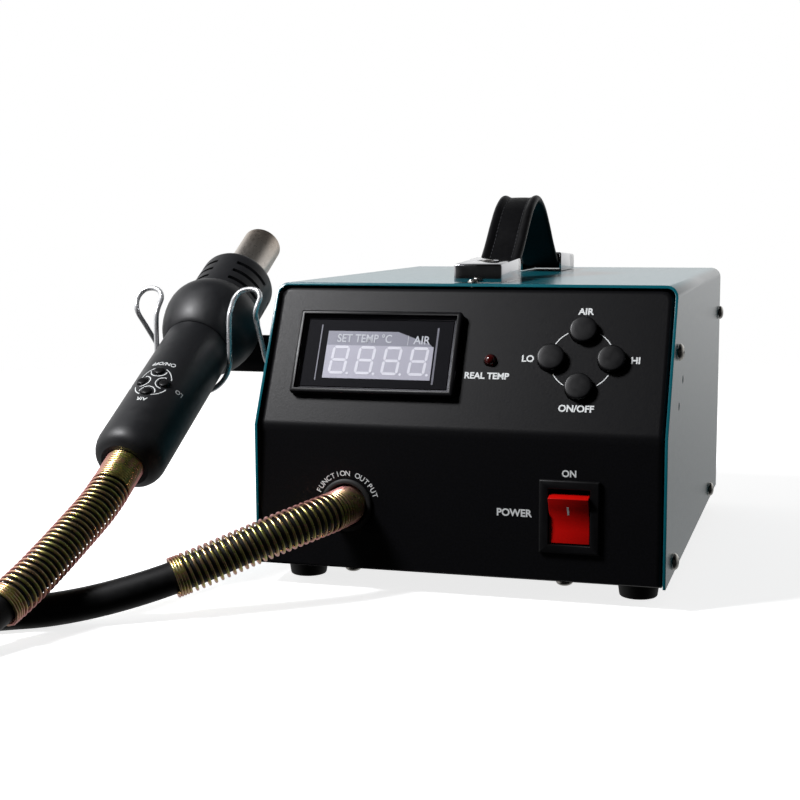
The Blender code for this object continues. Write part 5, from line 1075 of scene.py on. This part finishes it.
def print_on(name, meshes, body="station"):
    """Printed words and lines as one piece of ink."""
    bm = bmesh.new()
    for mesh in meshes:
        bm.from_mesh(mesh)
    joined = bpy.data.meshes.new(name)
    bm.to_mesh(joined)
    bm.free()
    add_piece(name, joined, "white print ink", body, 30)


class STATION_OT_controls(bpy.types.Operator):
    """Builds the buttons, the lamp, the switch and the printed legends of the front panel"""

    bl_idname = "station.controls"
    bl_label = "Controls"

    def execute(self, context):
        fascia, lower = fascia_place(), lower_place()
        profile = [(0, -4.5), (2, -4.5), (2, -2.7), (7.1, -2.7), (7.1, -1.5), (5.8, -1.5), (5.8, 2.55)]
        profile += arc((5.15, 2.75), 0.65, 5, 80, 4) + [(4.9, 3.46), (3.2, 3.56), (1.6, 3.6), (0, 3.62)]
        for name, x, up in (("air", 0, 1), ("low", -1, 0), ("high", 1, 0), ("on_off", 0, -1)):
            place = fascia @ move(RING[0] + x * RING_REACH, RING[1] + up * RING_REACH)
            stand_in(f"button_{name}", lathe(profile, place), "satin black plastic", f"front_button_{name}")
        lens = [(0, -3.5), (3.3, -3.5), (3.3, -1.5), (2.5, -1.5), (2.5, 0.4)]
        lens += arc((0, 0.4), 2.5, 12, 90, 7)[:-1] + [(0, 2.9)]
        stand_in("indicator_lamp", lathe(lens, fascia @ move(12.6, 32.9), 40), "red lamp lens")
        self.switch()
        self.legends(context.scene.station_settings.legend_height, fascia, lower)
        gland = [(9.9, 1.4), (9.3, 0.7), (9.0, -1.5), (9.0, -4.5), (11.6, -4.5), (11.6, -1.5), (10.2, -1.5),
                 (10.2, 0.3), (11.6, 0.3), (11.6, 0.8), (11.2, 1.2), (10.6, 1.4)]
        stand_in("outlet_gland", lathe(gland, lower @ move(*OUTLET)), "moulded rubber")
        return {"FINISHED"}

    @staticmethod
    def switch():
        """The housing, the rocker, and the line printed on the rocker's upper half."""
        softened("switch_housing", "satin black plastic", 0.25 * MM)
        softened("switch_rocker", "red rocker plastic", 0.5 * MM, "rocker", 3, 25)
        mesh = bpy.data.objects["switch_rocker"].data
        face = BVHTree.FromPolygons([v.co for v in mesh.vertices], [tuple(p.vertices) for p in mesh.polygons])
        rings = []
        for i in range(9):
            (left, out), (right, out_right) = (
                face.ray_cast(station(x, -30, 39.2 + 0.45 * i), Vector((0, 1, 0)))[:2] for x in (49.3, 50.1)
            )
            rings.append([left + out * 0.06 * MM, left - out * 0.05 * MM,
                          right - out_right * 0.05 * MM, right + out_right * 0.06 * MM])
        add_piece("rocker_mark", skin(rings), "white print ink", "rocker")

    @staticmethod
    def legends(high, fascia, lower):
        """Words beside the controls, the ring's four arcs, and the word round the outlet."""
        arcs = bmesh.new()
        for middle in (45, 135, 225, 315):
            prism(band(RING, 13.5, 0.42, middle - 15, middle + 15, 12), 0.01, 0.06, fascia, arcs)
        upper = [mesh_of("ring", arcs)] + [
            legend(text, high * scale, fascia @ move(x, up), 0.045) for text, x, up, scale in (
                ("AIR", 51.7, 56.0, 1.0), ("LO", 28.7, 34.0, 1.0), ("HI", 74.3, 34.2, 1.0),
                ("ON/OFF", 51.2, 12.2, 1.0), ("REAL TEMP", 11.6, 25.7, 0.96),
            )
        ]
        print_on("upper_legends", upper)
        words = [legend(text, high * scale, lower @ move(x, up), 0.04) for text, x, up, scale in (
            ("ON", 49.7, 56.2, 0.95), ("POWER", 26.4, 38.6, 1.05),
        )]
        text = "FUNCTION OUTPUT"
        for i, letter in enumerate(text):
            if letter != " ":
                round_outlet = lower @ move(OUTLET[0], 38.2) @ turn(65 - 135 * i / (len(text) - 1), "Z")
                words.append(legend(letter, high * 0.78, round_outlet @ move(0, 13.7), 0.015))
        print_on("lower_legends", words)


# Display

# Where each stroke of a digit starts and ends, as shares of its width and height.
STROKES = (
    ((0.02, 1.0), (0.98, 1.0)), ((1.0, 0.98), (1.0, 0.52)), ((1.0, 0.48), (1.0, 0.02)),
    ((0.02, 0.0), (0.98, 0.0)), ((0.0, 0.48), (0.0, 0.02)), ((0.0, 0.98), (0.0, 0.52)),
    ((0.04, 0.5), (0.96, 0.5)),
)


def digit_outlines():
    """Outlines of four unlit digits with their points, in millimetres on the fascia."""
    wide, high, slant, half = 6.7, 12.0, 0.09, 1.25 / 2
    for left in (-58.9 + i * 12.05 for i in range(4)):
        for stroke in STROKES:
            start, end = (Vector((left + wide * a + slant * high * b, 24.9 + high * b)) for a, b in stroke)
            tip = (end - start).normalized() * half
            side = Vector((-tip.y, tip.x))
            yield [start - tip * 0.2, start + tip + side, end - tip + side, end + tip * 0.2, end - tip - side,
                   start + tip - side]
        yield arc((left + wide + 1.7, 24.7), 0.62, 0, 360, 16)[:-1]


class STATION_OT_display(bpy.types.Operator):
    """Builds the display behind its smoked window"""

    bl_idname = "station.display"
    bl_label = "Display"

    def execute(self, context):
        fascia = fascia_place()
        softened("display_bezel", "satin black plastic", 0.15 * MM)
        softened("display_window", "smoked acrylic", 0.2 * MM)
        dress("display mask", "display_module")
        # Painted highlight: two thin light grey strips stand in for light on the clear frame's cut edges.
        edges = [[(x0, y0), (x1, y0), (x1, y1), (x0, y1)] for x0, y0, x1, y1 in (
            (-65.2, 21.2, -64.7, 47.4), (-11.9, 20.4, -11.1, 46.6),
        )]
        shelf = [(-61.7, 37.8), (-13.4, 37.8), (-14.4, 38.9), (-29.5, 44.5), (-61.7, 44.5)]
        for name, finish, outlines, low, high in (
            ("display_tile", "display tile", [rounded_rectangle(-61.7, 22.3, -12.7, 37.8, 0.3)], 1.62, 1.7),
            ("display_band", "display band", [shelf], 1.62, 1.69),
            ("display_frame_edges", "clear frame edges", edges, 1.62, 1.72),
            ("display_segments", "display segments", digit_outlines(), 1.71, 1.76),
        ):
            bm = bmesh.new()
            for outline in outlines:
                prism(outline, low, high, fascia, bm)
            add_piece(name, bm, finish)
        print_on("display_words", [
            legend(text, high * MM, fascia @ move(x, up, 1.72), weight, condense)
            for text, x, up, high, weight, condense in (
                ("SET TEMP °C", -44.6, 40.9, 3.9, 0.02, 0.84), ("AIR", -18.4, 40.6, 3.9, 0.02, 0.9),
                ("|", -24.6, 40.9, 3.6, 0.0, 0.6),
            )
        ])
        return {"FINISHED"}


# Handpiece

class STATION_OT_handpiece(bpy.types.Operator):
    """Builds the moulded handpiece, its pad, its slotted collar and its heater pipe"""

    bl_idname = "station.handpiece"
    bl_label = "Handpiece"

    def execute(self, context):
        place = handpiece_place()
        self.grip(place)
        self.head(place)
        self.pipe(place)
        self.buttons()
        self.pad_print(place)
        dress("mica sheet", "heater_core")
        dress("green circuit board", "handpiece_board")
        return {"FINISHED"}

    @staticmethod
    def shell(name, profile, place, openings):
        """A turned shell with its openings cut out."""
        stand_in(name, cut(lathe(profile, place, 128), openings), "matt charcoal plastic", "handpiece", 30)

    def grip(self, place):
        """Hollow grip, with a hole under each button."""
        profile = [(9.0, 0)] + arc((10.6, 0.6), 0.6, -90, -50, 3)
        profile += [
            (12.4, 0.9), (13.6, 1.7), (14.7, 3.0), (15.4, 4.6), (15.85, 6.4), (16, 8), (16, 87.4), (15.7, 88),
            (14.4, 88), (14.4, 100), (12.4, 100), (12.4, 85), (13.4, 84), (13.4, 15), (9.0, 15),
        ]
        holes = bmesh.new()
        for _, along, across, _ in PAD_BUTTONS:
            lathe([(0, 0), (2.7, 0), (2.7, 32), (0, 32)], pad_place(along, across), 32, holes)
        self.shell("handpiece_grip", profile, place, holes)

    def head(self, place):
        """Swollen head and its collar, with three rows of vent slots in each of four places."""
        profile = [
            (14.7, 88.3), (15.9, 88.3), (16.6, 88.75), (17.3, 89.6), (18.5, 91), (19.8, 93.4), (21, 96),
            (22.1, 99.5), (22.9, 103), (23.4, 106.5), (23.5, 109.5), (23.2, 112), (22.6, 114.2),
            (21.8, 116.2), (20.9, 118), (20, 119.4), (19.3, 120.2), (18.85, 120.5), (18.6, 120.9), (18.6, 144),
            (18.4, 145.1), (17.8, 146.3), (16.8, 147.4), (15.9, 148.1), (14.8, 148.5), (10.8, 148.5),
            (10.3, 148.1), (10.3, 144.9), (16.2, 144.9), (16.2, 118.5), (20.3, 115.5), (21.3, 111),
            (20.3, 104), (14.7, 101),
        ]
        slots = bmesh.new()
        for angle in (45, 135, 225, 315):
            start, end = angle - 29, angle + 29
            outline = arc((0, 0), 20.6, start, end, 14) + arc((0, 0), 14.4, end, start, 10)
            for low in (137, 130.5, 124):
                prism(outline, low, low + 2.2, place, slots)
        self.shell("handpiece_head", profile, place, slots)

    @staticmethod
    def pipe(place):
        """Thin pipe with its flange behind the lip and a notch in its mouth."""
        profile = [(9.1, 108), (10, 108), (10, 143.4), (15.9, 143.4), (15.9, 144.6), (10, 144.6)]
        profile += [(10, 150 + 3 * i) for i in range(11)]
        profile += [(10, 183.2), (9.8, 183.5), (9.3, 183.5), (9.1, 183.2)]
        notch = prism([(7, -1.2), (12, -1.2), (12, 1.2), (7, 1.2)], 179.5, 190, place @ turn(90, "Z"))
        mesh = cut(lathe(profile, place, 96), notch)
        along, rings = (mesh.attributes.new(name, "FLOAT", "POINT") for name in ("along", "rings"))
        back = place.inverted()
        for i, vertex in enumerate(mesh.vertices):
            z = (back @ vertex.co).z / MM
            along.data[i].value = min(1.0, max(0.0, (z - 148) / 36))
            rings.data[i].value = z * 6
        stand_in("heater_pipe", mesh, "heat tinted stainless", "handpiece", 30)

    @staticmethod
    def buttons():
        """Four domes on the side of the grip that faces the user."""
        for name, along, across, _ in PAD_BUTTONS:
            top = math.sqrt(GRIP_RADIUS ** 2 - across ** 2) + 1
            profile = [(0, 10.6), (2.4, 10.6), (2.4, top - 0.9), *arc((1.7, top - 0.9), 0.7, 15, 75, 3),
                       (1.2, top - 0.08), (0, top)]
            dome = lathe(profile, pad_place(along, across), 40)
            stand_in(f"grip_button_{name}", dome, "satin black plastic", f"pad_button_{name}")

    @staticmethod
    def pad_print(place):
        """A frame round the four buttons and their words, drawn flat and then bent round the grip."""
        line, lines = 0.45, bmesh.new()
        flat = Matrix.Identity(4)
        for quarter in (0, 90, 180, 270):
            angles = [math.radians(quarter + 20 + 5 * i) for i in range(11)]
            outer, inner = (
                [(math.cos(t) * (8 + grow), PAD + math.sin(t) * (10 + grow)) for t in angles]
                for grow in (line / 2, -line / 2)
            )
            prism(outer + inner[::-1], 0, 0.04, flat, lines)
        for _, along, across, facing in PAD_BUTTONS:
            prism(band((across, along), 3.75, line, facing - 88, facing + 88, 22), 0, 0.04, flat, lines)
        words = [mesh_of("pad_frame", lines)] + [
            legend(text, 2.3 * MM, move(across, along) @ turn(180, "Z"), 0.02) for text, across, along in (
                ("ON/OFF", 0, 53.4), ("AIR", 0, 27.0), ("LO", 13.4, 39.4), ("HI", -13.4, 39.4),
            )
        ]
        for vertex in (vertex for mesh in words for vertex in mesh.vertices):
            angle = vertex.co.x / (GRIP_RADIUS * MM)
            radius = (GRIP_RADIUS + 0.02) * MM + max(0.0, vertex.co.z)
            vertex.co = place @ Vector((math.sin(angle) * radius, -math.cos(angle) * radius, vertex.co.y))
        print_on("pad_print", words, "handpiece")


# Holder and strap

class STATION_OT_holder(bpy.types.Operator):
    """Builds the bright wire that the handpiece rests in"""

    bl_idname = "station.holder"
    bl_label = "Holder"

    def execute(self, context):
        thick, leg = 2.4, 18.8
        slope = math.tan(math.radians(SLOPE))
        level = TAIL[2] + 71.4 * slope
        bottom = level + 4 * slope - (GRIP_RADIUS + 0.45 + thick / 2) / math.cos(math.radians(SLOPE))
        half = [(26.5, 102, 90.3), (26.5, 84, 90.3), (26.5, 74, 90.6)]
        half += [(x, 41 + ahead, level + up) for x, ahead, up in (
            (27, 25.5, -4.4), (28, 18, 4.1), (29.3, 10, 13.1), (30.4, 4.4, 19.6), (31.2, 4.6, 23.6),
            (31.5, 7.6, 27.4), (29.4, 10, 30.4), (25.1, 10.2, 31.2), (21, 9, 30), (18.9, 6.6, 26.8),
            (leg, 3, 22.96), (leg, 0.6, 19.2), (leg, 0, 13.1),
        )]
        half.append((leg, 41, bottom + leg + 4))
        half += [(x, 41 + 4 * (bottom + leg - z) / leg, z) for x, z in arc((0, bottom + leg), leg, 0, -90, 8)]
        left, right = ([station(TAIL[0] + side * x, y, z) for x, y, z in half] for side in (-1, 1))
        route = smooth_route(left[:-1] + right[::-1], 1.6 * MM)
        stand_in("holder_wire", tube(route, thick / 2 * MM, 20), "bright plated wire")
        return {"FINISHED"}


def strap_line():
    """Middle line of the strap, from its end under one clamp over the crest to the other."""
    lying, rise = 136.1, 34.6
    half = [(86, 0), (70.5, 0), (53, 1.14), (45.39, rise * 0.15), (35.7, rise * 0.36), (25.5, rise * 0.62),
            (13.77, rise * 0.87)]
    side = [(-y, up) for y, up in half] + [(0, rise)] + half[::-1]
    return [station(0.8, 130 + y, lying + up) for y, up in side]


def strap_frames(route):
    """Each point of the strap with its direction and the way out of its upper face."""
    for point, ahead in headings(route):
        out = Vector((1, 0, 0)).cross(ahead).normalized()
        yield point, ahead, -out if out.z < 0 else out


class STATION_OT_strap(bpy.types.Operator):
    """Builds the stitched carrying strap and its chrome clamps"""

    bl_idname = "station.strap"
    bl_label = "Strap"

    def execute(self, context):
        route = smooth_route(strap_line(), 1.5 * MM)
        edge = [(9.7, 0), (9.6, 0.65), (9.2, 1.2), (8.6, 1.6), (7.86, 1.78), (7.0, 1.65), (6.2, 1.25),
                (5.5, 0.75), (5.1, 0.55), (4.6, 0.62), (3, 0.7), (0, 0.75)]
        under = [(-9.6, -0.65), (-9.2, -1.2), (-8.6, -1.6), (-7.86, -1.78), (-6, -1.74)]
        section = edge + [(-a, b) for a, b in edge[-2::-1]] + under + [(0, -1.72)]
        section += [(-a, b) for a, b in under[::-1]]
        side = Vector((1, 0, 0))
        strap = skin([
            [point + side * a * MM + out * b * MM for a, b in section]
            for point, _, out in strap_frames(route)
        ])
        stand_in("strap", strap, "grained vinyl", smooth_angle=60)
        self.stitches(context.scene.station_settings.stitch_length, route)
        for end in ("front", "rear"):
            softened(f"strap_clamp_{end}", "chrome plate", 0.35 * MM, segments=3)
        return {"FINISHED"}

    @staticmethod
    def stitches(spacing, route):
        """Two seams of short rounded stitches along the strap's grooves."""
        half = spacing * 0.72 / MM / 2
        profile = [(0, -half), (0.05, -half), (0.22, 0.25 - half)]
        profile += [(radius, -along) for radius, along in profile[::-1]]
        shape = mesh_of("stitch_shape", lathe(profile, turn(-90, "X"), 10))
        places = []
        for point, ahead, out in list(strap_frames(even_points(route, spacing)))[2:-2]:
            for side in (-5.1, 5.1):
                at = point + Vector((side * MM, 0, 0)) + out * 0.58 * MM
                places.append((at, (math.atan2(ahead.z, ahead.y), 0, 0), (1, 1, 1)))
        scattered("strap_seams", shape, places, "waxed thread")


# Inside and back

class STATION_OT_inside(bpy.types.Operator):
    """Finishes the pump, the boards, the inlet and the air pipe"""

    bl_idname = "station.inside"
    bl_label = "Inside And Back"

    def execute(self, context):
        dress("cast aluminium", "pump_housing")
        dress("laminated iron", "pump_coil", "pump_armature")
        dress("green circuit board", "power_board", "control_board")
        dress("milky silicone", "air_pipe")
        softened("mains_inlet", "satin black plastic", 0.25 * MM)
        return {"FINISHED"}


class STATION_PT_panel(bpy.types.Panel):
    """Sizes, colours and steps of the station"""

    bl_label = "Hot Air Station"
    bl_idname = "STATION_PT_panel"
    bl_space_type = "VIEW_3D"
    bl_region_type = "UI"
    bl_category = "Station"

    def draw(self, context):
        settings = context.scene.station_settings
        for name in StationSettings.__annotations__:
            self.layout.prop(settings, name)
        for step in STEPS:
            self.layout.operator(step.bl_idname)


STEPS = (
    STATION_OT_stage, STATION_OT_hose, STATION_OT_springs, STATION_OT_cabinet, STATION_OT_controls,
    STATION_OT_display, STATION_OT_handpiece, STATION_OT_holder, STATION_OT_strap, STATION_OT_inside,
)
CLASSES = (StationSettings, *STEPS, STATION_PT_panel)


def register():
    for one in CLASSES:
        bpy.utils.register_class(one)
    bpy.types.Scene.station_settings = PointerProperty(type=StationSettings)


def unregister():
    del bpy.types.Scene.station_settings
    for one in reversed(CLASSES):
        bpy.utils.unregister_class(one)


def main():
    register()
    for step in STEPS:
        group_name, action = step.bl_idname.split(".")
        if getattr(getattr(bpy.ops, group_name), action)() != {"FINISHED"}:
            raise RuntimeError(f"{step.bl_idname} didn't finish")


if __name__ == "__main__":
    main()
